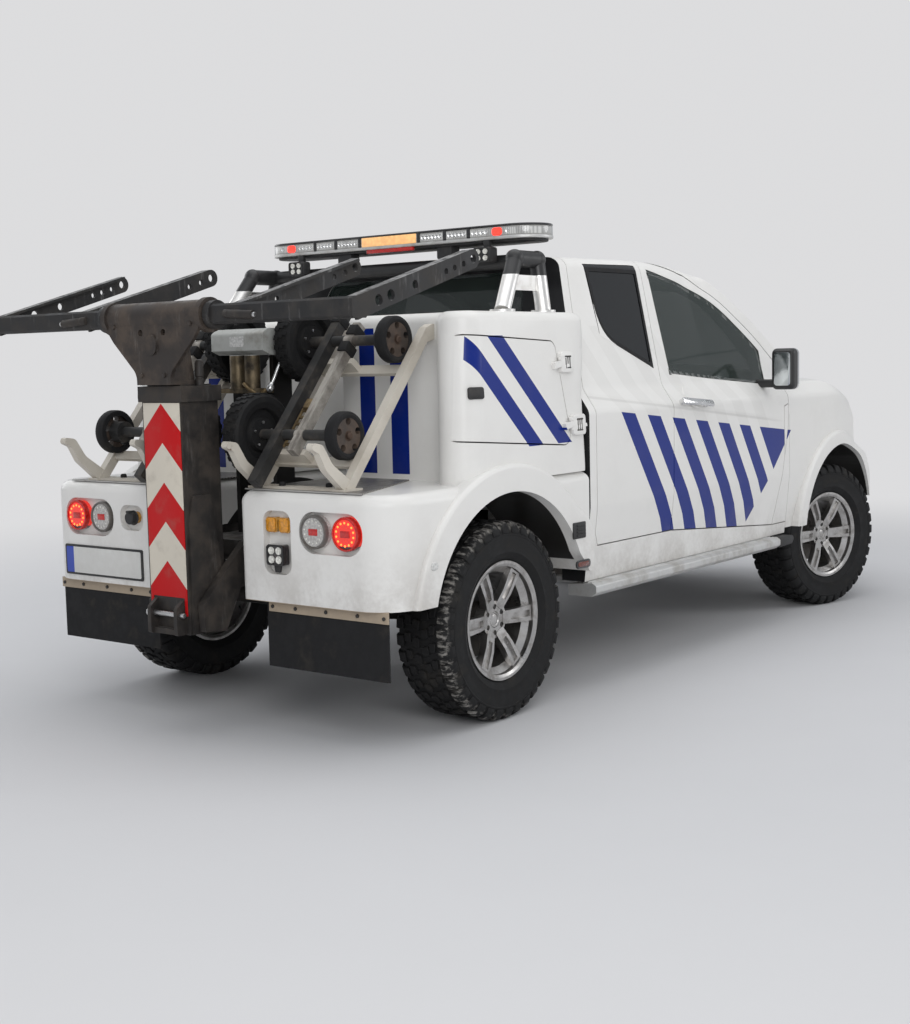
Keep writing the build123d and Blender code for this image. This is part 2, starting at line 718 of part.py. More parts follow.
lower_plan = [(pod_rear_x, -channel_half), (pod_rear_x, -half_body), (pod_front_x, -half_body),
              (pod_front_x, -channel_half)]
lower_radii = [30, 150, 0, 0]
locker_low_plan = [(locker_rear_x, -channel_half), (locker_rear_x, -702), (-465, -half_body),
                   (pod_front_x, -half_body), (pod_front_x, -channel_half)]
locker_high_plan = [(locker_rear_x, -channel_half), (locker_rear_x, -698), (-385, -half_body + 25),
                    (pod_front_x - 12, -half_body + 25), (pod_front_x - 12, -channel_half)]
locker_radii = [25, 20, 90, 50, 0]
locker_lean = 25 / (locker_top_z - deck_z)
deck_plan = [(pod_rear_x + 25, -channel_half - 10), (pod_rear_x + 25, -785), (locker_rear_x - 20, -560),
             (locker_rear_x - 20, -channel_half - 10)]
locker_outline = [(-235, 1461), (-273, 1080), (441, 1026), (345, 1433)]
locker_hinge_line = Vector(locker_outline[3][0] - locker_outline[2][0],
                           locker_lean * (locker_outline[3][1] - locker_outline[2][1]),
                           locker_outline[3][1] - locker_outline[2][1]).normalized()
hinge_offset = 8
hinge_stand = 10
socket_y, socket_z = 396, 782


def lower_pod(inset, top_z):
    """Lower body of the right pod between its foot and a height, pulled in by a depth."""
    return plan_slab(lower_plan, pod_bottom_z, top_z, lower_radii, inset)


def locker(inset, low_z, high_z):
    """Locker on the right pod: its plan changes evenly from the deck to the top."""
    faces = []
    for plan, z in [(locker_low_plan, deck_z), (locker_high_plan, locker_top_z)]:
        face = outline(plan, locker_radii)
        if inset:
            face = offset(face, amount=-inset, kind=Kind.INTERSECTION)
        faces.append(Pos(0, 0, z) * face)
    return loft(faces, ruled=True) & block(-2000, 2000, -2000, 2000, low_z, high_z)


def locker_zone(grow=0):
    face = outline(locker_outline, 40)
    if grow:
        face = offset(face, amount=grow, kind=Kind.INTERSECTION)
    plane = Plane(origin=(0, -1000, 0), x_dir=(1, 0, 0), z_dir=(0, -1, 0))
    return extrude(plane * face, amount=150, dir=(0, 1, 0))


def locker_side_y(z):
    """Where the right locker's side wall stands at a height."""
    return -half_body + locker_lean * (z - deck_z)


def hinge_point(z):
    """The point of the right locker door's hinge axis at a height."""
    foot_x, foot_z = locker_outline[2]
    run = (z - foot_z) / locker_hinge_line.Z
    return Vector(foot_x + hinge_offset + locker_hinge_line.X * run, locker_side_y(z) - hinge_stand, z)


hinge_heights = (1110, 1350)


def hinge_part(z, spans, reach, bore):
    """Sleeves round the hinge axis at given spans along it, on straps that reach along the wall."""
    out = (locker_hinge_line.Z, 0, -locker_hinge_line.X)
    frame = Plane(origin=hinge_point(z), x_dir=out, z_dir=locker_hinge_line)
    piece = None
    for low, high in spans:
        sleeve = Pos(0, 0, (low + high) / 2) * Cylinder(9, high - low)
        sleeve += block(0, reach, -9, -1, low, high) + block(reach * 0.45, reach, -2, hinge_stand + 3, low, high)
        piece = sleeve if piece is None else piece + sleeve
    return frame * (piece - Cylinder(bore, 80))


def right_pod(recesses):
    """A pod with its wheel arch, open below, its locker on top and its lamp recesses."""
    axle = (0, axle_z)
    low = lower_pod(0, deck_z)
    low = fillet(low.edges().group_by(Axis.Z)[-1].sort_by(Axis.Y)[0:3], 45)
    wheelhouse = rod((0, -1000, axle_z), (0, -600, axle_z), arch_radius + 12)
    low -= lower_pod(pod_wall, deck_z - pod_wall) - wheelhouse
    top = locker(0, deck_z, locker_top_z)
    top = fillet(top.edges().group_by(Axis.Z)[-1].sort_by(Axis.Y)[0:-2], 40)
    top -= locker(pod_wall, deck_z + pod_wall, locker_top_z - pod_wall)
    pod = low + top
    pod -= rod((0, -1000, axle_z), (0, -600, axle_z), arch_radius)
    pod += flare(axle, -1, 105, pod_bottom_z) & block(pod_rear_x + 40, pod_front_x, -1100, 0, 0, 1200)
    pod -= locker_zone(edge_gap)
    pod -= block(pod_rear_x + pod_wall, pod_front_x + 10, -445, -channel_half + 10, 0, pod_cut_z)
    pod -= block(pod_front_x - pod_wall - 1, pod_front_x + 1, -half_body + pod_wall, -440, 0, 600)
    pod += block(pod_rear_x + 28, pod_rear_x + pod_wall - rest_gap, -885, -315, 470, pod_bottom_z + 1)
    for y0, y1, z0, z1, radius in recesses:
        corners = [(y0, z0), (y1, z0), (y1, z1), (y0, z1)]
        pod -= front_slab(corners, pod_rear_x - 10, pod_rear_x + recess_depth, radius)
    for z in hinge_heights:
        pod += hinge_part(z, [(-26, -13), (13, 26)], 46, 4)
        middle = hinge_point(z)
        pod += rod(middle - locker_hinge_line * 26, middle + locker_hinge_line * 26, 4.5)
    return pod


recess_depth = 30
# y range, z range and corner radius of the recesses in a rear face: the lamps, then the inner one
lamp_recess = (-803, -506, 700, 850, 70)
tall_recess = (-464, -328, 614, 846, 40)
short_recess = (-464, -328, 732, 832, 40)


def rear_body():
    return [right_pod([lamp_recess, tall_recess]), mirror(right_pod([lamp_recess, short_recess]), about=Plane.XZ)]


def locker_door(side):
    """Locker door cut from the locker's own wall, with the sleeves that turn on the body's pins."""
    leaf = (locker(0, deck_z, locker_top_z) - locker(pod_wall, deck_z, locker_top_z)) & locker_zone()
    leaf = leaf & block(-1000, 1000, -1000, -700, 900, 1600)
    for z in hinge_heights:
        leaf += hinge_part(z, [(-12, 12)], -52, 4.8)
    return leaf if side < 0 else mirror(leaf, about=Plane.XZ)


def deck_plates():
    return both_sides(plan_slab(deck_plan, deck_z + rest_gap, deck_z + 5))


# Racks and dollies are drawn along the slope of the racks: s runs up the slope, n stands out of it.

rack_foot = (-625, deck_z + 5 + rest_gap)
rack_lean = 50
rack_length = 735
rack_half = 19
inner_arm_y, inner_arm_wide = 250, 30
outer_arm_y, outer_arm_wide = 667, 34
saddle_top = 62
axle_stations = (180, 623)
axle_stand = 84
dolly_wheel_radius = 150


def on_slope(s, n):
    sine, cosine = math.sin(math.radians(rack_lean)), math.cos(math.radians(rack_lean))
    return (rack_foot[0] + s * cosine - n * sine, rack_foot[1] + s * sine + n * cosine)


def slope_slab(ranges, y0, y1):
    """A box along the slope: its s range, n range and y range."""
    s0, s1, n0, n1 = ranges
    return side_slab([on_slope(s0, n0), on_slope(s1, n0), on_slope(s1, n1), on_slope(s0, n1)], y0, y1)


def racks():
    """Inclined arms with their feet, hooks, saddles for the dollies and brackets to the lockers."""
    low = rack_foot[1]
    pieces = None
    for y, wide in [(-inner_arm_y, inner_arm_wide), (-outer_arm_y, outer_arm_wide)]:
        y0, y1 = y - wide / 2, y + wide / 2
        arm = slope_slab((0, rack_length, -rack_half, rack_half), y0, y1) & block(-2000, 0, -2000, 0, low, 2000)
        top_z = on_slope(rack_length, rack_half)[1]
        wall_x = locker_rear_x - rest_gap
        bracket = [on_slope(rack_length - 40, -rack_half), (wall_x, top_z - 45), (wall_x, top_z + 12),
                   (wall_x - 14, top_z + 12), on_slope(rack_length - 5, rack_half)]
        arm += side_slab(bracket, y0, y1)
        foot_x = rack_foot[0]
        hook = [(foot_x - 20, low), (foot_x + 30, low), (foot_x + 16, low + 34), (-705, 1020), (-752, 1092),
                (-798, 1100), (-808, 1078), (-772, 1062), (-738, 1000)]
        arm += side_slab(hook, y - 15, y + 15, [0, 0, 0, 60, 30, 12, 12, 20, 60])
        arm += block(foot_x - 40, foot_x + 60, y - 28, y + 28, low, low + 8)
        pieces = arm if pieces is None else pieces + arm
    inner, outer = -inner_arm_y, -outer_arm_y
    pieces += block(foot_x - 30, foot_x + 40, outer, inner, low, low + 8)
    for s in (120, 545):
        pieces += slope_slab((s - 20, s + 20, -8, 8), outer, inner)
        pieces += slope_slab((s - 12, s + 12, 7, saddle_top), -450, -inner_arm_y - 15)
    return both_sides(pieces)


def dolly_frames():
    """Stowed dolly: two beams across two axles, with a drilled hub disc on each outer end."""
    beams = [(290, 330, -45, 765, 45), (396, 432, 100, 700, 38)]
    frame = None
    for y0, y1, s0, s1, deep in beams:
        beam = slope_slab((s0, s1, saddle_top + rest_gap, saddle_top + deep), -y1, -y0)
        frame = beam if frame is None else frame + beam
    for s in axle_stations:
        x, z = on_slope(s, axle_stand)
        frame += rod((x, -152, z), (x, -643, z), 20)
        disc = rod((x, -615, z), (x, -643, z), 82)
        for step in range(5):
            angle = math.radians(72 * step + 18)
            hole = (x + 52 * math.cos(angle), z + 52 * math.sin(angle))
            disc -= rod((hole[0], -600, hole[1]), (hole[0], -650, hole[1]), 13)
        frame += disc + rod((x, -560, z), (x, -615, z), 42)
    return both_sides(frame)


def dolly_wheels():
    """Small wheels on the inner ends of the stowed dollies' axles."""
    pieces = []
    r = dolly_wheel_radius
    # radius, half width
    half = [(20 + rest_gap, 28), (60, 28), (68, 14), (92, 14), (98, 34), (120, 41), (r - 10, 40), (r, 30)]
    face = make_face(Plane.XZ * Polyline(*half, *[(radius, -wide) for radius, wide in reversed(half)], close=True))
    wheel = Rot(90, 0, 0) * revolve(face, axis=Axis.Z)
    for s in axle_stations:
        x, z = on_slope(s, axle_stand)
        for side in (-1, 1):
            pieces.append(Pos(x, side * 191, z) * wheel)
    return pieces


def tail_lamps():
    """Two round lamps in each pod's wide recess, and the inner recess's marker pair, work lamp or socket."""
    back_x = pod_rear_x + recess_depth - rest_gap
    pieces = []
    for side in (-1, 1):
        for y in (577, 728):
            lamp = rod((back_x, side * y, 778), (pod_rear_x + 4, side * y, 778), 60)
            lens = rod((pod_rear_x + 5, side * y, 778), (pod_rear_x - 4, side * y, 778), 54)
            lens = fillet(lens.edges().sort_by(Axis.X)[0], 4)
            pieces.append(lamp + lens)
    for y in (364, 428):
        marker = block(pod_rear_x + 6, back_x, -y - 28, -y + 28, 766, 822)
        pieces.append(fillet(marker.edges().filter_by(Axis.X), 14))
    work = block(pod_rear_x - 12, pod_rear_x + 16, -438, -354, 648, 724)
    work = fillet(work.edges().filter_by(Axis.X), 10)
    work += rod((pod_rear_x + 10, -396, 686), (back_x, -396, 686), 16)
    pieces.append(work)
    pieces.append(rod((back_x, socket_y, socket_z), (pod_rear_x - 8, socket_y, socket_z), 24))
    return pieces


def mudflaps():
    front, back = pod_rear_x + pod_wall + 7, pod_rear_x + pod_wall + rest_gap
    flap = block(back, front, -880, -300, 263, pod_bottom_z - 5)
    flap += block(back, front, -760, -300, pod_bottom_z - 6, 560)
    return both_sides(flap)


def roll_bar():
    """Arched bar over the lockers: two splayed legs a side, joined by elbows, and a tube across."""
    foot_z, top_z = locker_top_z + rest_gap, 1785
    # foot x and y, top x and y
    legs = [(200, 770, 345, 730), (490, 765, 500, 730)]
    hoop = None
    for foot_x, foot_y, top_x, top_y in legs:
        foot, top = (foot_x, -foot_y, foot_z + 8), (top_x, -top_y, top_z - 20)
        leg = rod(foot, top, 32) + Pos(*top) * Sphere(37)
        leg += Pos(foot_x, -foot_y, foot_z + 6) * Cylinder(50, 12)
        leg = leg & block(-1000, 1000, -1200, 0, foot_z, 2000)
        hoop = leg if hoop is None else hoop + leg
    hoop += rod((legs[0][2], -730, top_z - 20), (legs[1][2], -730, top_z - 20), 34)
    plate = [(262, 1640), (480, 1640), (480, 1700), (300, 1700)]
    hoop += side_slab(plate, -752, -744)
    hoop = both_sides(hoop)
    hoop += rod((roll_tube_x, -735, top_z - 20), (roll_tube_x, 735, top_z - 20), 30)
    return hoop


def light_bar():
    """Long lamp housing with rounded ends on two feet that stand on the roll bar's tube."""
    x, low, high = roll_tube_x, 1835, roof_lamp_top
    body = extrude(Pos(light_bar_x, 0, low) * Rot(0, 0, 90) * SlotOverall(1500, 235), amount=high - low)
    body = fillet(body.edges().group_by(Axis.Z)[-1], 22)
    body = chamfer(body.edges().group_by(Axis.Z)[0], 12)
    tube_top = 1785 - 20 + 30 + rest_gap
    for side in (-1, 1):
        body += block(x - 30, x + 30, side * 240, side * 320, tube_top, low + 4)
        work = block(x - 90, x - 35, side * 475, side * 565, 1762, 1826)
        body += fillet(work.edges().filter_by(Axis.X), 12)
        body += block(x - 57, x - 36, side * 505, side * 535, 1825, low + 4)
    return body


# Lift gear in the channel

def lift_frame():
    """Sub-frame on the chassis: bed plate, mast pivot ears and the ram's foot bracket."""
    half = 150
    inner = mast_half + cheek_depth + slide_gap
    bed = block(-600, 420, -half, half, bed_low_z + rest_gap, bed_high_z)
    bed += block(-600, -535, -half, half, 655, bed_high_z)
    ear = [(-540, bed_high_z), (-540, 610), (-640, 560), (mast_pivot_x + 60, mast_pivot_z - 60),
           (mast_pivot_x - 45, mast_pivot_z - 50), (mast_pivot_x - 50, mast_pivot_z + 50), (-700, 640),
           (-620, bed_high_z)]
    foot = [(ram_foot[0] - 70, bed_high_z), (ram_foot[0] - 28, ram_foot[1] - 28),
            (ram_foot[0] + 28, ram_foot[1] - 28), (ram_foot[0] + 70, bed_high_z)]
    for side in (-1, 1):
        bed += side_slab(ear, *sorted((side * inner, side * half)))
        bed += side_slab(foot, *sorted((side * 45, side * 60)))
    bed += rod((mast_pivot_x, -half, mast_pivot_z), (mast_pivot_x, half, mast_pivot_z), pivot_radius)
    return bed + rod((ram_foot[0], -60, ram_foot[1]), (ram_foot[0], 60, ram_foot[1]), 15)


def boom_outer():
    """Mast: a box open at the top with a collar, and a forked foot that takes the pivot and the ram's eye."""
    x0, x1 = mast_rear_x, mast_rear_x + mast_depth
    wall, plate, fork_top = mast_wall, 20, mast_low_open_z
    box = block(x0, x1, -mast_half, mast_half, mast_bottom_z, mast_top_z)
    box += block(x0 - 8, x1 + 8, -mast_half - 13, mast_half + 13, mast_top_z, mast_top_z + collar_height)
    box -= block(x0 + wall, x1 - wall, -mast_half + wall, mast_half - wall, fork_top, mast_top_z + collar_height + 1)
    box -= block(x0 + wall, x1 + 1, -mast_half + plate, mast_half - plate, mast_bottom_z - 1, fork_top)
    lug = [(x1 - 60, 470), (ram_eye[0] + 26, ram_eye[1] - 26), (ram_eye[0] + 26, ram_eye[1] + 26), (x1 - 60, 620)]
    # Thicker cheeks low down, where the mast turns, and a towing bracket at its foot
    cheek = [(x0 + 10, mast_bottom_z), (x1 - 10, mast_bottom_z), (x1 - 10, 560), (x1 - 60, 900), (x0 + 30, 900),
             (x0 + 10, 800)]
    for side in (-1, 1):
        box += side_slab(lug, *sorted((side * (mast_half - plate), side * mast_half)))
        box += side_slab(cheek, *sorted((side * (mast_half - 1), side * (mast_half + cheek_depth))))
        box += rod((ram_eye[0], side * 31, ram_eye[1]), (ram_eye[0], side * (mast_half - 1), ram_eye[1]), 16)
        bracket = [(x0 - 40, mast_bottom_z), (x0 + 1, mast_bottom_z), (x0 + 1, mast_bottom_z + 130),
                   (x0 - 40, mast_bottom_z + 100)]
        box += side_slab(bracket, *sorted((side * tow_ear_in, side * tow_ear_out)), [8, 0, 0, 20])
    box += block(x0 - 26, x0 + 1, -tow_ear_in, tow_ear_in, mast_bottom_z, mast_bottom_z + 20)
    box -= rod((x0 - 19, -100, mast_bottom_z + 75), (x0 - 19, 100, mast_bottom_z + 75), tow_pin_radius)
    pivot = rod((mast_pivot_x, -200, mast_pivot_z), (mast_pivot_x, 200, mast_pivot_z), pivot_radius + 0.05)
    return box - pivot


def boom_inner():
    """Sliding box inside the mast, with two bands of wear pads."""
    x0, x1 = mast_rear_x + mast_wall + slide_gap, mast_rear_x + mast_depth - mast_wall - slide_gap
    half, wall, pad = mast_half - mast_wall - slide_gap, 10, slide_gap - rest_gap
    low, high = mast_low_open_z + 20, mast_top_z + collar_height + 5
    box = block(x0, x1, -half, half, low, high)
    for z in (low + 10, high - 110):
        box += block(x0 - pad, x1 + pad, -50, 50, z, z + 60)
        box += block(x0 + 20, x1 - 20, -half - pad, half + pad, z, z + 60)
    return box - block(x0 + wall, x1 - wall, -half + wall, half - wall, low - 1, high - 30)


def cross_head():
    """Flared plate with its slot, holes and boss, and the cross tube that carries the two cradles."""
    base_z = mast_top_z + collar_height + 5 + rest_gap
    x0, thick = barrel_x - 47, 16
    x1 = x0 + thick
    half = [(90, base_z), (90, 1345), (212, 1462), (250, 1510), (250, barrel_z + 25)]
    corners = [0, 60, 60, 40, 25]
    plate = front_slab(half + [(-y, z) for y, z in reversed(half)], x0, x1, corners + corners[::-1])
    plate += block(x0, barrel_x + 75, -90, 90, base_z, base_z + thick)
    web = [(x1 - 1, base_z + 15), (barrel_x + 75, base_z + 15), (barrel_x + 45, 1525), (x1 - 1, 1525)]
    for side in (-1, 1):
        plate += side_slab(web, *sorted((side * 72, side * 84)))
        plate -= rod((x0 - 1, side * 61, 1494), (x1 + 1, side * 61, 1494), 12)
    plate -= block(x0 - 1, x1 + 1, -95, 95, 1534, 1550)
    boss = Pos(x0, 0, 1450) * Rot(0, -90, 0) * extrude(SlotOverall(74, 56), amount=8)
    tube = rod((barrel_x, -barrel_half, barrel_z), (barrel_x, barrel_half, barrel_z), barrel_radius)
    for side in (-1, 1):
        ring_start, ring_end = side * (barrel_half - 24), side * barrel_half
        tube += rod((barrel_x, ring_start, barrel_z), (barrel_x, ring_end, barrel_z), barrel_radius + 7)
    bore = rod((barrel_x, -300, barrel_z), (barrel_x, 300, barrel_z), shaft_radius + rest_gap)
    return plate + boss + tube - bore


def cradle(side):
    """Wheel cradle: a shaft in the cross tube, a cross bar and two arms of angle section with round ends."""
    x0, z0 = barrel_x, barrel_z
    lean = math.radians(cradle_rise)
    along, normal = (math.cos(lean), math.sin(lean)), (-math.sin(lean), math.cos(lean))

    def at(distance, height):
        return (x0 + along[0] * distance + normal[0] * height, z0 + along[1] * distance + normal[1] * height)

    bar = block(x0 - 38, x0 + 38, side * (barrel_half + edge_gap), side * 958, z0 - 35, z0 + 35)
    piece = chamfer(bar.edges().filter_by(Axis.Y), 8)
    piece += rod((x0, side * 40, z0), (x0, side * 300, z0), shaft_radius)
    piece += rod((x0, side * (barrel_half + edge_gap), z0), (x0, side * 300, z0), 50)
    # web's y, flange's y, distances of the holes and their radii
    arms = [
        (386, 430, [(110, 15), (200, 11), (520, 11), (585, 11)]),
        (958, 914, [(100, 19), (165, 19), (300, 15), (480, 11), (530, 11), (585, 11)]),
    ]
    reach = cradle_length - 34
    for web_y, flange_y, holes in arms:
        web = [at(-20, -38), at(reach, -34), at(reach, 34), at(-20, 38)]
        thick = 14 if flange_y > web_y else -14
        arm = side_slab(web, *sorted((side * web_y, side * (web_y + thick))))
        end_x, end_z = at(reach, 0)
        arm += rod((end_x, side * web_y, end_z), (end_x, side * (web_y + thick), end_z), 34)
        flange = [at(-20, 28), at(reach, 24), at(reach, 34), at(-20, 38)]
        arm += side_slab(flange, *sorted((side * web_y, side * flange_y)))
        for distance, radius in holes:
            x, z = at(distance, -4)
            arm -= rod((x, side * (web_y - 30), z), (x, side * (web_y + 30), z), radius)
        arm -= rod((end_x, side * (web_y - 30), end_z), (end_x, side * (web_y + 30), end_z), strap_eye_radius)
        piece += arm
    return piece


def ram_point(share):
    """A point on the ram's axis, from its foot pin at 0 to its rod eye at 1."""
    return (ram_foot[0] + (ram_eye[0] - ram_foot[0]) * share, 0, ram_foot[1] + (ram_eye[1] - ram_foot[1]) * share)


def tilt_cylinder():
    """Ram barrel with its foot eye and the gland that its rod runs in."""
    barrel = rod(ram_point(0.04), ram_point(0.85), 34, 20)
    barrel += rod(ram_point(0.04), ram_point(0.08), 34)
    barrel += rod(ram_point(0.82), ram_point(0.87), 40, ram_rod_radius + rest_gap)
    barrel += rod((ram_foot[0], -35, ram_foot[1]), (ram_foot[0], 35, ram_foot[1]), 30)
    return barrel - rod((ram_foot[0], -40, ram_foot[1]), (ram_foot[0], 40, ram_foot[1]), 15.05)


def tilt_rod():
    eye = rod((ram_eye[0], -25, ram_eye[1]), (ram_eye[0], 25, ram_eye[1]), 24)
    eye -= rod((ram_eye[0], -30, ram_eye[1]), (ram_eye[0], 30, ram_eye[1]), 15)
    return eye + rod(ram_point(0.12), ram_point(0.965), ram_rod_radius)


def winch():
    """Sheet cover with a sloped front on two posts, with the rope's guide rollers under it."""
    half = 140
    section = [(-480, 1425), (-480, 1490), (-450, 1508), (-250, 1508), (-230, 1488), (-230, 1408), (-440, 1408)]
    cover = side_slab(section, -half, half, [0, 15, 20, 20, 15, 0, 0])
    for side in (-1, 1):
        cover += block(-400, -300, side * 92, side * 112, bed_high_z + rest_gap, 1409)
        cover += rod((-440, side * 40, 1409), (-440, side * 40, 1280), 30)
    return cover + block(-475, -395, -112, 112, 1262, 1280) + block(-400, -385, -112, 112, 1200, 1280)


def side_steps():
    """A step along each sill on three brackets from the frame."""
    outer, inner = half_body + 25, half_body - 110
    section = [(-outer, 412), (-outer + 25, 395), (-inner, 395), (-inner, 440), (-outer + 20, 452), (-outer, 440)]
    step = front_slab(section, 560, 2290, [10, 0, 0, 0, 15, 10])
    rail_face = rail_y + rail_width / 2 + rest_gap
    for x in (800, 1450, 2100):
        step += block(x - 25, x + 25, -inner, -rail_face, 408, 430)
        step += block(x - 25, x + 25, -rail_face - 34, -rail_face, 408, 560)
    return both_sides(step)


# Every sub-part, written out in place

shift = Pos(rear_overhang - (wheelbase + front_overhang + rear_overhang) / 2, 0, 0)
wheels = {
    "front_left": (front_axle_x, 1, rest_steer), "front_right": (front_axle_x, -1, rest_steer),
    "rear_left": (0, 1, 0), "rear_right": (0, -1, 0),
}
parts = {
    "chassis_frame": chassis_frame(), "engine_block": engine_block(), "driveline": driveline(),
    "rear_axle": rear_axle(), "front_suspension": front_suspension(), "fuel_tank": fuel_tank(),
    "cab_shell": cab_shell(), "cab_glass": cab_glass(), "front_wings": front_wings(),
    "front_bumper": front_bumper(), "grille": grille(), "headlamps": headlamps(), "bonnet": bonnet(),
    "seats": seats(), "seat_frames": seat_frames(), "dashboard": dashboard(), "steering_wheel": steering_wheel(),
    "rear_body": rear_body(), "deck_plates": deck_plates(), "dolly_racks": racks(), "dolly_frames": dolly_frames(),
    "dolly_wheels": dolly_wheels(), "tail_lamps": tail_lamps(), "mudflaps": mudflaps(), "roll_bar": roll_bar(),
    "light_bar": light_bar(), "lift_frame": lift_frame(), "boom_outer": boom_outer(), "boom_inner": boom_inner(),
    "cross_head": cross_head(), "tilt_cylinder": tilt_cylinder(), "tilt_rod": tilt_rod(), "winch": winch(),
    "side_steps": side_steps(),
}
tyre_shape, wheel_shape = tyre(), alloy_wheel()
for place, (x, side, steer) in wheels.items():
    parts["tyre_" + place] = placed_wheel(tyre_shape, x, side, steer)
    parts["wheel_" + place] = placed_wheel(wheel_shape, x, side, steer)
for name, side in [("left", 1), ("right", -1)]:
    parts["knuckle_" + name] = hub_carrier(side)
    parts["front_door_" + name] = door(front_face(), front_window(), side)
    parts["front_glass_" + name] = door_pane(front_window(), side)
    parts["access_door_" + name] = door(access_face(), access_window(), side)
    parts["access_glass_" + name] = door_pane(access_window(), side)
    parts["mirror_" + name] = mirror_arm(side)
    parts["locker_door_" + name] = locker_door(side)
    parts["wheel_cradle_" + name] = cradle(side)

for name, piece in parts.items():
    solids = piece if isinstance(piece, list) else [piece]
    whole = Compound(children=[shift * solid for item in solids for solid in item.solids()])
    export_step(whole, f"parts/{name}.step")
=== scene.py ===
import json
import math
import bmesh
import bpy
from mathutils import Matrix, Vector
from mathutils.bvhtree import BVHTree


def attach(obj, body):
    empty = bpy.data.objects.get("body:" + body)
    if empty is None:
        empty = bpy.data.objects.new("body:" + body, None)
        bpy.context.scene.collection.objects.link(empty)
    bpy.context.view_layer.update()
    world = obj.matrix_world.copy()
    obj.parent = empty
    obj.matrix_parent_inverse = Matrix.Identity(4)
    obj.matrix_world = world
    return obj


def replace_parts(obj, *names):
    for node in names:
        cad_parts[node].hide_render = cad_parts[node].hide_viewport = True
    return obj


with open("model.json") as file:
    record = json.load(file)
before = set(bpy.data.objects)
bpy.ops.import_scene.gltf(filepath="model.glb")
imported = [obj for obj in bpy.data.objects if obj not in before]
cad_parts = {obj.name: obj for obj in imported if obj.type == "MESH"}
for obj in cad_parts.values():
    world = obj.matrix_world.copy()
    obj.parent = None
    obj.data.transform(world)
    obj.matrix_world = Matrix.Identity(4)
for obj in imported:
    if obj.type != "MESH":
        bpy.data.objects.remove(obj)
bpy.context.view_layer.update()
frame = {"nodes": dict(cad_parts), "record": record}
nodes = frame["nodes"]
print("frame loaded:", len(nodes), "nodes")

# Places are written in metres from the rear axle along X, like the truck's own drawing
rearAxle = -1.545
wheelRadius = 0.381
frontAxle = 3.095
sides = {"right": -1, "left": 1}


def spot(x, y, z):
    return Vector((x + rearAxle, y, z))


# Modelling helpers: every new piece starts from a primitive and is shaped in edit mode

def deselectAll():
    for item in list(bpy.context.selected_objects):
        item.select_set(False)


def activate(piece):
    deselectAll()
    piece.select_set(True)
    bpy.context.view_layer.objects.active = piece


def takeNew(name):
    piece = bpy.context.active_object
    piece.name = name
    piece.data.name = name
    return piece


def settle(piece):
    activate(piece)
    bpy.ops.object.transform_apply(location=True, rotation=True, scale=True)
    return piece


def editAll():
    bpy.ops.object.mode_set(mode="EDIT")
    bpy.ops.mesh.select_all(action="SELECT")


def leaveEdit():
    bpy.ops.object.mode_set(mode="OBJECT")


def softenEdges(piece, width, segments=2, angle=30):
    activate(piece)
    edge = piece.modifiers.new("edge", "BEVEL")
    edge.width = width
    edge.segments = segments
    edge.limit_method = "ANGLE"
    edge.angle_limit = math.radians(angle)
    bpy.ops.object.modifier_apply(modifier="edge")
    return piece


def fixNormals(piece):
    activate(piece)
    editAll()
    bpy.ops.mesh.remove_doubles(threshold=0.00002)
    bpy.ops.mesh.normals_make_consistent(inside=False)
    leaveEdit()
    return piece


def boxPiece(name, low, high, edge=0.003, segments=2):
    deselectAll()
    middle = (low + high) / 2
    bpy.ops.mesh.primitive_cube_add(size=1, location=middle)
    piece = takeNew(name)
    piece.scale = [abs(a - b) for a, b in zip(high, low)]
    settle(piece)
    return softenEdges(piece, edge, segments) if edge else piece


def rodPiece(name, start, end, radius, edge=0.002, facets=32):
    deselectAll()
    run = end - start
    bpy.ops.mesh.primitive_cylinder_add(radius=radius, depth=run.length, vertices=facets,
                                        location=(start + end) / 2)
    piece = takeNew(name)
    piece.rotation_mode = "QUATERNION"
    piece.rotation_quaternion = run.to_track_quat("Z", "Y")
    settle(piece)
    return softenEdges(piece, edge, 2, 40) if edge else piece


def outlinePiece(name, points, push, edge=0.002, segments=2):
    # points are the outline's corners in place, push is the way and depth of the extrusion.
    deselectAll()
    bpy.ops.mesh.primitive_circle_add(vertices=len(points), fill_type="NGON")
    piece = takeNew(name)
    for corner, place in zip(piece.data.vertices, points):
        corner.co = piece.matrix_world.inverted() @ Vector(place)
    settle(piece)
    editAll()
    bpy.ops.mesh.extrude_region_move(TRANSFORM_OT_translate={"value": push})
    leaveEdit()
    fixNormals(piece)
    return softenEdges(piece, edge, segments) if edge else piece


def rearPlate(name, x, outline, thick, edge=0.002):
    # A flat piece drawn as seen from behind; its thickness grows to the rear
    return outlinePiece(name, [spot(x, y, z) for y, z in outline], Vector((-thick, 0, 0)), edge)


def boltHead(x, y, z, radius, stand):
    # A hexagon head that stands out to the rear of a face at x
    return rodPiece("bolt", spot(x + 0.001, y, z), spot(x - stand, y, z), radius, 0.0012, 6)


def spunPiece(name, profile, centre, axis, steps=48):
    # profile holds radius and place along the axis; it is closed and spun right round.
    deselectAll()
    axis = Vector(axis).normalized()
    out = axis.orthogonal().normalized()
    bpy.ops.mesh.primitive_circle_add(vertices=len(profile), fill_type="NOTHING")
    piece = takeNew(name)
    for corner, (radius, along) in zip(piece.data.vertices, profile):
        corner.co = centre + out * radius + axis * along
    piece.location = (0, 0, 0)
    editAll()
    bpy.ops.mesh.spin(steps=steps, angle=math.tau, center=centre, axis=axis)
    leaveEdit()
    return fixNormals(piece)


def joinAs(name, pieces):
    deselectAll()
    for piece in pieces:
        piece.select_set(True)
    bpy.context.view_layer.objects.active = pieces[0]
    bpy.ops.object.join()
    return takeNew(name)


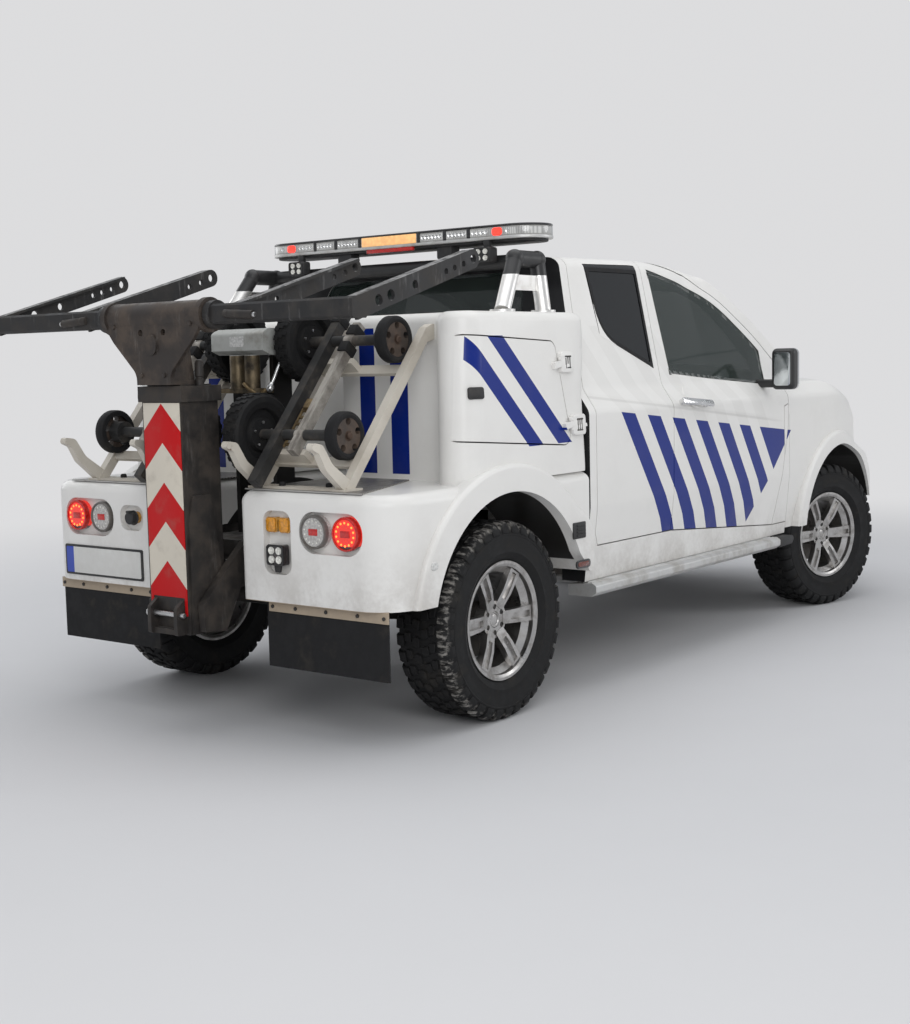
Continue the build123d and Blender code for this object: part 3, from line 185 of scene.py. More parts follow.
def copyOf(piece, name, scale=(1, 1, 1)):
    twin = piece.copy()
    twin.data = piece.data.copy()
    twin.name = name
    bpy.context.scene.collection.objects.link(twin)
    twin.scale = scale
    return settle(twin)


def mirroredCopy(piece, name):
    twin = copyOf(piece, name, (1, -1, 1))
    editAll()
    bpy.ops.mesh.normals_make_consistent(inside=False)
    leaveEdit()
    return twin


def discard(piece):
    bpy.data.meshes.remove(piece.data)


def dress(piece, finish, body="vehicle", angle=35):
    piece.data.materials.clear()
    piece.data.materials.append(finishes[finish])
    activate(piece)
    bpy.ops.object.shade_smooth_by_angle(angle=math.radians(angle))
    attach(piece, body)
    return piece


# Material helpers

def wire(tree, kind, inputs=None, **settings):
    node = tree.nodes.new(kind)
    for key, value in settings.items():
        setattr(node, key, value)
    for key, value in (inputs or {}).items():
        if isinstance(value, bpy.types.NodeSocket):
            tree.links.new(value, node.inputs[key])
        else:
            node.inputs[key].default_value = value
    return node


def maths(tree, operation, a, b=0.0, c=0.0):
    return wire(tree, "ShaderNodeMath", {0: a, 1: b, 2: c}, operation=operation).outputs[0]


def plus(tree, a, b):
    return maths(tree, "ADD", a, b)


def minus(tree, a, b):
    return maths(tree, "SUBTRACT", a, b)


def times(tree, a, b):
    return maths(tree, "MULTIPLY", a, b)


def absolute(tree, a):
    return maths(tree, "ABSOLUTE", a)


def larger(tree, a, b):
    return maths(tree, "MAXIMUM", a, b)


def radiusOf(tree, a, b):
    # Distance from the origin of a point with these two coordinates
    return maths(tree, "SQRT", plus(tree, times(tree, a, a), times(tree, b, b)))


def ramp(tree, value, low, high, toLow=0.0, toHigh=1.0):
    sockets = {"Value": value, "From Min": low, "From Max": high, "To Min": toLow, "To Max": toHigh}
    return wire(tree, "ShaderNodeMapRange", sockets, interpolation_type="SMOOTHSTEP").outputs[0]


def voronoi(tree, coords, scale, **settings):
    return wire(tree, "ShaderNodeTexVoronoi", {"Vector": coords, "Scale": scale}, **settings).outputs[0]


def setColour(tree, shader, colour):
    tree.links.new(colour, shader.inputs["Base Color"])


def setRoughness(tree, shader, value):
    tree.links.new(value, shader.inputs["Roughness"])


def setMetallic(tree, shader, value):
    tree.links.new(value, shader.inputs["Metallic"])


def tint(tree, factor, a, b):
    node = tree.nodes.new("ShaderNodeMix")
    node.data_type = "RGBA"
    for index, value in ((0, factor), (6, a), (7, b)):
        if isinstance(value, bpy.types.NodeSocket):
            tree.links.new(value, node.inputs[index])
        else:
            node.inputs[index].default_value = value if index == 0 else (*value, 1.0)
    return node.outputs[2]


def noise(tree, coords, scale, detail=4.0, rough=0.55, stretch=None):
    if stretch:
        coords = wire(tree, "ShaderNodeMapping", {"Vector": coords, "Scale": stretch}).outputs[0]
    sockets = {"Vector": coords, "Scale": scale, "Detail": detail, "Roughness": rough}
    return wire(tree, "ShaderNodeTexNoise", sockets).outputs[0]


def startFinish(name, **sockets):
    # A material with its tree, the object coordinates, their three axes and the shader.
    finish = bpy.data.materials.new(name)
    finish.use_nodes = True
    tree = finish.node_tree
    shader = tree.nodes["Principled BSDF"]
    for key, value in sockets.items():
        shader.inputs[key].default_value = value
    coords = wire(tree, "ShaderNodeTexCoord").outputs["Object"]
    axes = wire(tree, "ShaderNodeSeparateXYZ", {0: coords}).outputs
    return finish, tree, coords, axes, shader


def bump(tree, shader, height, distance, strength=1.0):
    node = wire(tree, "ShaderNodeBump", {"Height": height, "Distance": distance, "Strength": strength})
    tree.links.new(node.outputs[0], shader.inputs["Normal"])


def normalParts(tree):
    # The three parts of a face's normal
    return wire(tree, "ShaderNodeSeparateXYZ",
                {0: wire(tree, "ShaderNodeNewGeometry").outputs["Normal"]}).outputs


def upward(tree, low, high):
    # How far a face looks up, for paint rubbed off by use and a painted highlight on faces that look up
    return ramp(tree, normalParts(tree)[2], low, high)


def between(tree, value, low, high, blur=0.0008):
    # 1 where value lies between low and high, with an edge a film's thickness wide.
    return times(tree, ramp(tree, value, low - blur, low + blur),
                 ramp(tree, value, high - blur, high + blur, 1, 0))


# Finishes

paint = {"white": (0.80, 0.79, 0.765), "blue": (0.002, 0.019, 0.205), "film": (0.70, 0.69, 0.665),
         "dirt": (0.25, 0.21, 0.17), "coat": 0.15, "coatRoughness": 0.05, "roughness": 0.34,
         "specular": 0.2}
arch = {"radius": 0.512, "lip": 0.902, "blur": 0.001}
places = {  # where a finish changes on one node, in metres: heights, or sides measured from the middle
    "cabBack": (0.85, 0.86), "elbows": (1.700, 1.702), "podStripHigh": (0.5115, 0.512),
    "podStripBack": (-0.660, -0.659), "mirrorCap": (2.237, 2.238), "lampsHigh": (0.735, 0.736),
    "amber": (0.33, 0.48), "clear": (0.50, 0.652), "red": (0.652, 0.653), "dollyGrey": (0.392, 0.436),
    "dollyBrown": (0.612, 0.66), "winchCover": (1.405, 1.4065), "winchPosts": (-0.402, -0.400),
    "barBand": (1.873, 1.900), "podSide": (0.88, 2.0),
}
doorStripes = {"first": 0.823, "top": 1.139, "topSlope": -0.0977, "lean": 0.675, "pitch": 0.2015,
               "width": 0.105, "count": 7, "cutX": 2.478, "cutZ": 0.982, "cutSlope": 0.883, "skin": 0.893,
               "fadeTop": 1.5, "kink": 0.66, "lowLean": 0.43}
lockerStripes = {"lean": 1.04, "zero": 1.456, "right1": -0.195, "right2": 0.005, "width": 0.098,
                 "low": 1.036, "top": 1.458}
wallStripes = {"wall": -0.117, "ranges": [(0.307, 0.384), (0.462, 0.548)], "low": 0.938, "top": 1.50}


def alongTruck(tree, axes):
    return minus(tree, axes[0], rearAxle)


def dirtOn(tree, coords, axes, colour, low=0.35, high=0.75, strength=0.75):
    # Road spray: thick near the sills, thin above, broken by noise.
    height = ramp(tree, axes[2], low, high, 1, 0)
    patches = noise(tree, coords, 5.5, 7, 0.65)
    fine = noise(tree, coords, 60, 3)
    amount = times(tree, height, ramp(tree, plus(tree, patches, times(tree, fine, 0.3)), 0.45, 0.85))
    haze = times(tree, ramp(tree, patches, 0.42, 0.75), 0.05)
    amount = plus(tree, times(tree, amount, strength), haze)
    return tint(tree, amount, colour, paint["dirt"])


def archLiner(tree, axes, axle):
    # 1 inside a wheel arch, behind its lip.
    reach = radiusOf(tree, minus(tree, axes[0], rearAxle + axle), minus(tree, axes[2], wheelRadius))
    inArch = ramp(tree, reach, arch["radius"], arch["radius"] + arch["blur"], 1, 0)
    return times(tree, inArch, ramp(tree, absolute(tree, axes[1]), arch["lip"], arch["lip"] + arch["blur"],
                                    1, 0))


def whitePaint(name, stripes=None, high=0.75, axle=None, crease=None, rearWallShade=False):
    finish, tree, coords, axes, shader = startFinish(
        name, Roughness=paint["roughness"],
        **{"Specular IOR Level": paint["specular"], "Coat Weight": paint["coat"],
           "Coat Roughness": paint["coatRoughness"]})
    colour = tint(tree, noise(tree, coords, 1.7, 3), paint["white"], [c * 0.96 for c in paint["white"]])
    if stripes:
        colour = stripes(tree, axes, colour)
    colour = dirtOn(tree, coords, axes, colour, 0.3, high, 0.5)
    if axle is not None:
        colour = tint(tree, archLiner(tree, axes, axle), colour, (0.02, 0.019, 0.018))
    setColour(tree, shader, colour)
    if rearWallShade:
        # Painted shade: faces at the cab's rear that look backward are painted near black, standing in for
        # the shade behind the cab.
        normal = normalParts(tree)[0]
        behind = ramp(tree, alongTruck(tree, axes), *places["cabBack"], 1, 0)
        wall = times(tree, ramp(tree, normal, -0.75, -0.65, 1, 0), behind)
        setColour(tree, shader, tint(tree, wall, colour, (0.016, 0.016, 0.017)))
    if crease:
        line = plus(tree, times(tree, minus(tree, axes[0], rearAxle + crease["x"]), crease["slope"]),
                    crease["z"])
        step = ramp(tree, minus(tree, axes[2], line), -crease["blur"], crease["blur"])
        step = times(tree, step, ramp(tree, alongTruck(tree, axes), *crease["fade"], 1, 0))
        # Painted shade: a darker band just under the crease line, fading out towards the front.
        shade = between(tree, minus(tree, axes[2], line), *crease["shade"], 0.003)
        shade = times(tree, shade, ramp(tree, alongTruck(tree, axes), *crease["shadeFade"], crease["dark"],
                                        0))
        setColour(tree, shader, tint(tree, shade, colour, crease["colour"]))
        bump(tree, shader, step, crease["depth"], 0.6)
    else:
        bump(tree, shader, noise(tree, coords, 900, 1), 0.0002, 0.05)
    return finish


def doorFilm(tree, axes, colour):
    # Slanted blue bands that end on a rising line, with pale reflective bands above them.
    d = doorStripes
    x = minus(tree, axes[0], rearAxle + d["first"])
    z = minus(tree, axes[2], d["top"])
    kink = d["kink"] - d["top"]
    lean = times(tree, larger(tree, z, kink), d["lean"])
    lean = plus(tree, lean, times(tree, maths(tree, "MINIMUM", minus(tree, z, kink), 0.0), d["lowLean"]))
    across = plus(tree, x, lean)
    phase = maths(tree, "FLOORED_MODULO", across, d["pitch"])
    last = d["pitch"] * (d["count"] - 1)
    band = times(tree, between(tree, phase, 0.0, d["width"]), between(tree, across, -0.001, last + 0.11))
    wedge = ramp(tree, across, last - 0.0008, last + 0.0008)
    overTop = minus(tree, z, times(tree, x, d["topSlope"]))
    cutLine = times(tree, minus(tree, axes[0], rearAxle + d["cutX"]), d["cutSlope"])
    overCut = minus(tree, minus(tree, axes[2], d["cutZ"]), cutLine)
    outside = between(tree, absolute(tree, axes[1]), d["skin"], 2.0)
    low = times(tree, ramp(tree, overTop, -0.001, 0.001, 1, 0), ramp(tree, overCut, -0.001, 0.001))
    blue = times(tree, times(tree, larger(tree, band, wedge), low), outside)
    pale = times(tree, times(tree, band, ramp(tree, overTop, -0.001, 0.001)),
                 between(tree, axes[2], 0.5, d["fadeTop"]))
    return tint(tree, blue, tint(tree, times(tree, pale, 0.45), colour, paint["film"]), paint["blue"])


def lockerFilm(tree, axes, colour):
    # Two slanted bands across the locker door and two upright bands on the wall behind.
    d = lockerStripes
    side = absolute(tree, axes[1])
    lean = times(tree, minus(tree, axes[2], d["zero"]), d["lean"])
    across = plus(tree, alongTruck(tree, axes), lean)
    bands = [between(tree, across, d[key] - d["width"], d[key]) for key in ("right1", "right2")]
    slanted = larger(tree, *bands)
    onDoor = times(tree, between(tree, axes[2], d["low"], d["top"]),
                   between(tree, side, *places["podSide"]))
    slanted = times(tree, slanted, onDoor)
    w = wallStripes
    upright = larger(tree, *[between(tree, side, *reach) for reach in w["ranges"]])
    onWall = times(tree, between(tree, axes[2], w["low"], w["top"]),
                   between(tree, axes[0], rearAxle - 0.14, rearAxle + w["wall"]))
    behind = ramp(tree, alongTruck(tree, axes), *places["podStripBack"], 1, 0)
    strip = times(tree, ramp(tree, axes[2], *places["podStripHigh"], 1, 0), behind)
    colour = tint(tree, strip, colour, (0.42, 0.34, 0.25))
    return tint(tree, larger(tree, slanted, times(tree, upright, onWall)), colour, paint["blue"])


def blackSteel(name, base=(0.020, 0.018, 0.017), dust=(0.075, 0.060, 0.048), amount=0.6,
               worn=(0.26, 0.25, 0.24), wearAndSheenAmount=0.5):
    # Painted steel that has gone brown and grey; lighter where it faces up and in streaks, partly worn paint
    # and partly painted highlight and sheen.
    finish, tree, coords, axes, shader = startFinish(name, **{"Specular IOR Level": 0.4})
    patches = noise(tree, coords, 9, 8, 0.65)
    scratchesAndSheen = noise(tree, coords, 30, 6, 0.7, (1, 1, 0.15))
    dirty = tint(tree, times(tree, ramp(tree, patches, 0.38, 0.7), amount), base, dust)
    # Lighter tops and lighter streaks on all faces: partly worn paint, partly painted highlight and sheen of
    # the light on the steel.
    wearAndHighlight = times(tree, upward(tree, 0.75, 0.98), ramp(tree, scratchesAndSheen, 0.35, 0.62))
    paleStreaks = times(tree, ramp(tree, scratchesAndSheen, 0.56, 0.78), wearAndSheenAmount * 0.45)
    colour = tint(tree, larger(tree, times(tree, wearAndHighlight, wearAndSheenAmount), paleStreaks), dirty, worn)
    setColour(tree, shader, colour)
    setRoughness(tree, shader, ramp(tree, patches, 0.3, 0.75, 0.42, 0.8))
    setMetallic(tree, shader, times(tree, wearAndHighlight, 0.6))
    bump(tree, shader, plus(tree, patches, times(tree, scratchesAndSheen, 0.5)), 0.0015, 0.35)
    return finish


def plainMetal(name, base, rough, metallic=1.0, dust=(0.16, 0.13, 0.10), amount=0.35, scale=14):
    finish, tree, coords, axes, shader = startFinish(name, Metallic=metallic)
    patches = noise(tree, coords, scale, 7, 0.62)
    stain = ramp(tree, patches, 0.42, 0.75)
    setColour(tree, shader, tint(tree, times(tree, stain, amount), base, dust))
    setRoughness(tree, shader, ramp(tree, patches, 0.3, 0.75, rough, min(0.9, rough + 0.25)))
    bump(tree, shader, noise(tree, coords, scale * 9, 4), 0.0005, 0.2)
    return finish


def plainPlastic(name, base, rough, grain=420, dust=0.25, coat=0.0):
    finish, tree, coords, axes, shader = startFinish(name, **{"Coat Weight": coat})
    patches = noise(tree, coords, 8, 6, 0.6)
    setColour(tree, shader, tint(tree, times(tree, ramp(tree, patches, 0.45, 0.8), dust), base,
                                 (0.2, 0.175, 0.15)))
    setRoughness(tree, shader, ramp(tree, patches, 0.3, 0.7, rough, min(1.0, rough + 0.15)))
    bump(tree, shader, voronoi(tree, coords, grain), 0.0004, 0.25)
    return finish


def offWhitePaint():
    # Rack paint: cream, rubbed through to rust along its scratches.
    finish, tree, coords, axes, shader = startFinish("rackPaint", Roughness=0.5)
    patches = noise(tree, coords, 16, 8, 0.68)
    rust = tint(tree, noise(tree, coords, 40, 4), (0.20, 0.10, 0.05), (0.09, 0.06, 0.045))
    soiled = tint(tree, ramp(tree, noise(tree, coords, 4, 6), 0.4, 0.75, 0, 0.6), (0.60, 0.56, 0.49),
                  (0.33, 0.28, 0.22))
    setColour(tree, shader, tint(tree, ramp(tree, patches, 0.66, 0.72), soiled, rust))
    bump(tree, shader, patches, 0.0008, 0.3)
    return finish


def ribbedPlate():
    # Worn aluminium deck sheet with fine ribs across the truck.
    finish, tree, coords, axes, shader = startFinish("deckSheet", Metallic=0.85)
    rib = maths(tree, "FLOORED_MODULO", axes[0], 0.016)
    ridge = times(tree, ramp(tree, rib, 0.001, 0.004), ramp(tree, rib, 0.007, 0.010, 1, 0))
    worn = noise(tree, coords, 22, 5)
    colour = tint(tree, ridge, (0.16, 0.15, 0.14), (0.52, 0.51, 0.49))
    setColour(tree, shader, tint(tree, ramp(tree, worn, 0.5, 0.8, 0, 0.5), colour, (0.24, 0.21, 0.18)))
    setRoughness(tree, shader, ramp(tree, worn, 0.3, 0.7, 0.35, 0.6))
    bump(tree, shader, ridge, 0.003, 0.8)
    return finish


def tyreRubber(name, base=(0.013, 0.013, 0.0135), mud=0.25, paleShoulder=None):
    # Black rubber with a little mud, and pale patches on the rear treads' shoulder.
    finish, tree, coords, axes, shader = startFinish(name, **{"Specular IOR Level": 0.22})
    patches = noise(tree, coords, 11, 7, 0.65)
    colour = tint(tree, times(tree, ramp(tree, patches, 0.5, 0.75), mud), base, (0.085, 0.075, 0.062))
    if paleShoulder:
        reach = radiusOf(tree, alongTruck(tree, axes), minus(tree, axes[2], wheelRadius))
        shoulder = between(tree, absolute(tree, axes[1]), *paleShoulder["across"], 0.006)
        paleStreaks = ramp(tree, noise(tree, coords, 62, 5, 0.65, (1, 0.22, 1)), 0.46, 0.64)
        mask = times(tree, times(tree, shoulder, between(tree, reach, *paleShoulder["reach"], 0.006)), paleStreaks)
        colour = tint(tree, times(tree, mask, paleShoulder["amount"]), colour, paleShoulder["colour"])
    setColour(tree, shader, colour)
    setRoughness(tree, shader, ramp(tree, patches, 0.3, 0.75, 0.55, 0.85))
    bump(tree, shader, noise(tree, coords, 160, 5), 0.0008, 0.35)
    return finish


def tintedGlass(name, base=(0.010, 0.014, 0.013), alpha=0.78):
    # Dark tinted glass: it mirrors its surroundings and lets a little of the cabin through.
    finish, tree, coords, axes, shader = startFinish(
        name, **{"Base Color": (*base, 1), "Alpha": alpha, "Roughness": 0.03, "Specular IOR Level": 0.5})
    smear = noise(tree, coords, 6, 5)
    setRoughness(tree, shader, ramp(tree, smear, 0.5, 0.9, 0.025, 0.09))
    return finish


def lampLens(name, base, alpha=1.0, glow=0.0, cell=130, rough=0.12):
    # Moulded lens with small cells; a lit one glows in its own colour.
    settings = {"Roughness": rough, "Alpha": alpha, "Coat Weight": 0.6, "Coat Roughness": 0.04}
    if glow:
        settings.update({"Emission Color": (*base, 1), "Emission Strength": glow})
    finish, tree, coords, axes, shader = startFinish(name, **settings)
    cells = voronoi(tree, coords, cell, feature="SMOOTH_F1")
    setColour(tree, shader, tint(tree, ramp(tree, cells, 0.1, 0.7), base, [c * 0.7 for c in base]))
    bump(tree, shader, cells, 0.002, 0.5)
    return finish


def chevronFilm():
    # Red and white reflective chevrons that point up.
    finish, tree, coords, axes, shader = startFinish("chevronFilm", Roughness=0.4,
                                                     **{"Specular IOR Level": 0.2})
    pitch, climb, tip = 0.289, 1.02, 1.238
    side = times(tree, absolute(tree, axes[1]), climb)
    phase = maths(tree, "FLOORED_MODULO", minus(tree, plus(tree, axes[2], side), tip), pitch)
    red = between(tree, phase, pitch / 2, pitch)
    weave = voronoi(tree, coords, 260)
    colour = tint(tree, red, (0.66, 0.61, 0.52), (0.52, 0.006, 0.008))
    grime = ramp(tree, noise(tree, coords, 14, 6), 0.5, 0.8, 0, 0.3)
    setColour(tree, shader, tint(tree, grime, colour, (0.2, 0.16, 0.13)))
    bump(tree, shader, weave, 0.0004, 0.2)
    return finish


def seatCloth(name, base):
    # Woven cloth: crossed threads with a little melange.
    finish, tree, coords, axes, shader = startFinish(name, Roughness=0.92,
                                                     **{"Sheen Weight": 0.35, "Sheen Roughness": 0.5})
    threads = [maths(tree, "SINE", times(tree, axes[axis], 2600)) for axis in range(3)]
    weave = times(tree, plus(tree, threads[0], threads[2]), plus(tree, threads[1], 0.3))
    speck = noise(tree, coords, 300, 3)
    setColour(tree, shader, tint(tree, ramp(tree, speck, 0.35, 0.7), [c * 0.7 for c in base],
                                 [c * 1.35 for c in base]))
    bump(tree, shader, weave, 0.0006, 0.4)
    return finish


def rollBarMetal():
    # Polished tube with black plastic elbows above a height.
    finish, tree, coords, axes, shader = startFinish("rollBarMetal")
    high = ramp(tree, axes[2], *places["elbows"])
    patches = noise(tree, coords, 18, 6)
    steel = tint(tree, ramp(tree, patches, 0.5, 0.8, 0, 0.4), (0.82, 0.81, 0.79), (0.52, 0.47, 0.42))
    setColour(tree, shader, tint(tree, high, steel, (0.02, 0.02, 0.021)))
    setMetallic(tree, shader, minus(tree, 1.0, high))
    setRoughness(tree, shader, ramp(tree, patches, 0.3, 0.8, 0.34, 0.55))
    return finish


def tailLampFinish():
    # Red outer lamps, clear inner lamps, amber markers, and black for the rest.
    finish, tree, coords, axes, shader = startFinish(
        "tailLamps", Roughness=0.12, **{"Coat Weight": 0.6, "Coat Roughness": 0.04,
                                        "Emission Color": (0.9, 0.03, 0.01, 1)})
    side = absolute(tree, axes[1])
    high = ramp(tree, axes[2], *places["lampsHigh"])
    cells = voronoi(tree, coords, 150, feature="SMOOTH_F1")
    amber = times(tree, between(tree, side, *places["amber"]), high)
    red = times(tree, ramp(tree, side, *places["red"]), high)
    clear = between(tree, side, *places["clear"])
    colour = tint(tree, amber, (0.02, 0.02, 0.021), (0.62, 0.30, 0.03))
    colour = tint(tree, clear, colour, (0.55, 0.54, 0.52))
    colour = tint(tree, red, colour, (0.62, 0.012, 0.010))
    setColour(tree, shader, tint(tree, ramp(tree, cells, 0.1, 0.7, 0, 0.35), colour, (0.05, 0.02, 0.02)))
    tree.links.new(times(tree, red, 0.55), shader.inputs["Emission Strength"])
    bump(tree, shader, cells, 0.0018, 0.5)
    return finish


def mirrorFinish():
    # Black mirror body with a chrome cap in front.
    finish, tree, coords, axes, shader = startFinish("mirrorBody", Roughness=0.12)
    cap = ramp(tree, alongTruck(tree, axes), *places["mirrorCap"])
    grain = noise(tree, coords, 350, 2)
    setColour(tree, shader, tint(tree, cap, tint(tree, grain, (0.018, 0.018, 0.019), (0.03, 0.03, 0.03)),
                                 (0.72, 0.72, 0.72)))
    setMetallic(tree, shader, cap)
    setRoughness(tree, shader, ramp(tree, cap, 0, 1, 0.42, 0.07))
    return finish


def dollyFinish():
    # Black beams and axles, one weathered grey beam and brown hub discs.
    finish, tree, coords, axes, shader = startFinish("dollySteel")
    side = absolute(tree, axes[1])
    patches = noise(tree, coords, 12, 8, 0.66)
    streaks = noise(tree, coords, 26, 6, 0.7, (0.2, 1, 0.2))
    grey = between(tree, side, *places["dollyGrey"])
    brown = between(tree, side, *places["dollyBrown"])
    black = tint(tree, ramp(tree, patches, 0.45, 0.8), (0.018, 0.018, 0.018), (0.10, 0.085, 0.07))
    worn = tint(tree, ramp(tree, streaks, 0.35, 0.65), (0.13, 0.115, 0.10), (0.40, 0.375, 0.335))
    rusty = tint(tree, ramp(tree, patches, 0.4, 0.75), (0.035, 0.026, 0.021), (0.11, 0.075, 0.055))
    setColour(tree, shader, tint(tree, brown, tint(tree, grey, black, worn), rusty))
    setRoughness(tree, shader, ramp(tree, patches, 0.3, 0.75, 0.45, 0.8))
    bump(tree, shader, plus(tree, patches, streaks), 0.0012, 0.4)
    return finish


def winchFinish():
    # Grey-green sheet cover, with brown brassy rollers and dark posts under it.
    finish, tree, coords, axes, shader = startFinish("winchCover")
    low = ramp(tree, axes[2], *places["winchCover"], 1, 0)
    posts = ramp(tree, alongTruck(tree, axes), *places["winchPosts"])
    patches = noise(tree, coords, 14, 7, 0.62)
    cover = tint(tree, ramp(tree, patches, 0.45, 0.75), (0.44, 0.45, 0.43), (0.27, 0.26, 0.23))
    roller = tint(tree, ramp(tree, patches, 0.4, 0.7), (0.20, 0.155, 0.095), (0.045, 0.038, 0.03))
    below = tint(tree, posts, roller, (0.025, 0.024, 0.023))
    setColour(tree, shader, tint(tree, low, cover, below))
    setMetallic(tree, shader, times(tree, low, 0.7))
    setRoughness(tree, shader, ramp(tree, patches, 0.3, 0.7, 0.38, 0.62))
    bump(tree, shader, noise(tree, coords, 90, 4), 0.0006, 0.25)
    return finish


def barLensFinish():
    # Clear lens over silver modules: upright flutes and a bright middle band.
    finish, tree, coords, axes, shader = startFinish("barLens", Roughness=0.10,
                                                     **{"Coat Weight": 0.8, "Coat Roughness": 0.04})
    flute = absolute(tree, maths(tree, "SINE", times(tree, axes[1], 330)))
    band = between(tree, axes[2], *places["barBand"], 0.003)
    module = noise(tree, coords, 22, 3, 0.6, (1, 1, 0.2))
    silver = tint(tree, flute, (0.36, 0.36, 0.35), (0.66, 0.66, 0.64))
    silver = tint(tree, ramp(tree, module, 0.45, 0.6, 0, 0.45), silver, (0.16, 0.155, 0.15))
    setColour(tree, shader, tint(tree, band, (0.30, 0.295, 0.28), silver))
    bump(tree, shader, flute, 0.0015, 0.3)
    return finish


# Door crease: a bump step along a sloping line, with a painted shade band just under it.
doorCrease = {"x": 0.67, "z": 1.208, "slope": -0.103, "blur": 0.016, "depth": 0.008, "fade": (2.0, 2.5),
              "shade": (-0.010, 0.0005), "shadeFade": (2.1, 2.5), "dark": 0.26,
              "colour": (0.42, 0.41, 0.39)}
finishes = {
    "white": whitePaint("bodyWhite"),
    "cab": whitePaint("cabWhite", rearWallShade=True),
    "door": whitePaint("doorWhite", doorFilm, 0.7, crease=doorCrease),
    "wing": whitePaint("wingWhite", doorFilm, 0.7, frontAxle),
    "locker": whitePaint("lockerWhite", lockerFilm, 0.85),
    "pod": whitePaint("podWhite", lockerFilm, 0.85, 0.0),
    "tailLamp": tailLampFinish(),
    "mirrorBody": mirrorFinish(),
    "dolly": dollyFinish(),
    "winch": winchFinish(),
    "barLens": barLensFinish(),
    "brown": plainMetal("hubBrown", (0.09, 0.06, 0.045), 0.5, 0.7, (0.05, 0.035, 0.025), 0.6, 30),
    # For each blackSteel, the last colour and amount are its lighter tops and streaks: partly wear, partly
    # painted highlight and sheen.
    "steel": blackSteel("liftSteel"),
    "headSteel": blackSteel("headSteel", (0.028, 0.022, 0.019), (0.105, 0.080, 0.062), 0.7,
                            (0.30, 0.28, 0.26), 0.6),
    "armSteel": blackSteel("armSteel", (0.014, 0.014, 0.015), (0.060, 0.054, 0.048), 0.6,
                           (0.34, 0.335, 0.33), 0.9),
    "chassis": blackSteel("chassisBlack", (0.02, 0.02, 0.02), (0.11, 0.095, 0.08), 0.5, (0.12, 0.1, 0.08),
                          0.2),
    "cast": plainMetal("castMetal", (0.22, 0.21, 0.20), 0.6, 0.7, amount=0.6),
    "alloy": plainMetal("wheelAlloy", (0.50, 0.49, 0.48), 0.26, 1.0, (0.10, 0.08, 0.06), 0.55, 20),
    "chrome": plainMetal("chrome", (0.80, 0.80, 0.80), 0.08, 1.0, amount=0.1),
    "rod": plainMetal("groundRod", (0.62, 0.62, 0.62), 0.18, 1.0, amount=0.15),
    "brass": plainMetal("rollerBrass", (0.30, 0.22, 0.12), 0.42, 0.9, (0.06, 0.05, 0.04), 0.7, 25),
    "step": plainMetal("stepAluminium", (0.62, 0.62, 0.61), 0.4, 0.7, (0.30, 0.27, 0.23), 0.5, 10),
    "deck": ribbedPlate(),
    "rack": offWhitePaint(),
    "tyre": tyreRubber("tyreRubber", paleShoulder={"across": (0.862, 0.903), "reach": (0.345, 0.50), "amount": 0.6,
                                            "colour": (0.42, 0.40, 0.37)}),
    "flap": tyreRubber("flapRubber", (0.014, 0.014, 0.015), 0.3),
    "black": plainPlastic("blackPlastic", (0.022, 0.022, 0.023), 0.5),
    "gloss": plainPlastic("glossBlack", (0.012, 0.012, 0.013), 0.18, 60, 0.08, 0.5),
    "cabin": plainPlastic("cabinPlastic", (0.045, 0.045, 0.047), 0.65),
    "glass": tintedGlass("tintedGlass", (0.030, 0.042, 0.038), 0.62),
    "darkGlass": tintedGlass("privacyGlass", (0.006, 0.007, 0.008), 0.93),
    "mirrorGlass": plainMetal("mirrorGlass", (0.6, 0.63, 0.64), 0.03, 1.0, amount=0.02),
    "red": lampLens("lampRed", (0.62, 0.012, 0.010)),
    "redDot": lampLens("lampRedDot", (1.0, 0.16, 0.03), glow=3.0),
    "redGlow": lampLens("lampRedGlow", (1.0, 0.035, 0.02), glow=1.6),
    "amber": lampLens("lampAmber", (0.80, 0.33, 0.02)),
    "ovalLens": lampLens("ovalLens", (0.16, 0.035, 0.02)),
    "sign": lampLens("signFace", (0.90, 0.50, 0.20), glow=0.55, cell=60),
    "clear": lampLens("lampClear", (0.72, 0.72, 0.70), rough=0.08),
    "led": lampLens("ledLens", (0.85, 0.84, 0.78), rough=0.06),
    "headLens": lampLens("headLens", (0.17, 0.175, 0.18), cell=55, rough=0.05),
    "chevron": chevronFilm(),
    "cloth": seatCloth("seatCloth", (0.055, 0.055, 0.06)),
    "rollBar": rollBarMetal(),
}
print("finishes made:", len(finishes))

nodeFinish = {
    "chassis_frame": "chassis", "engine_block": "cast", "driveline": "cast", "rear_axle": "chassis",
    "front_suspension": "chassis", "fuel_tank": "black", "cab_shell": "cab", "cab_glass": "glass",
    "front_wings": "wing", "front_bumper": "white", "grille": "black", "headlamps": "headLens",
    "bonnet": "white", "seats": "cloth", "seat_frames": "cabin", "dashboard": "cabin",
    "steering_wheel": "cabin", "rear_body": "pod", "deck_plates": "deck", "dolly_racks": "rack",
    "dolly_frames": "dolly", "dolly_wheels": "tyre", "tail_lamps": "tailLamp", "mudflaps": "flap",
    "roll_bar": "rollBar", "light_bar": "black", "lift_frame": "steel", "boom_outer": "steel",
    "boom_inner": "steel", "cross_head": "headSteel", "tilt_cylinder": "steel", "tilt_rod": "rod",
    "winch": "winch", "side_steps": "step",
}
pairFinish = {"knuckle": "cast", "front_door": "door", "front_glass": "glass", "access_door": "door",
              "access_glass": "darkGlass", "mirror": "mirrorBody", "locker_door": "locker",
              "wheel_cradle": "armSteel"}
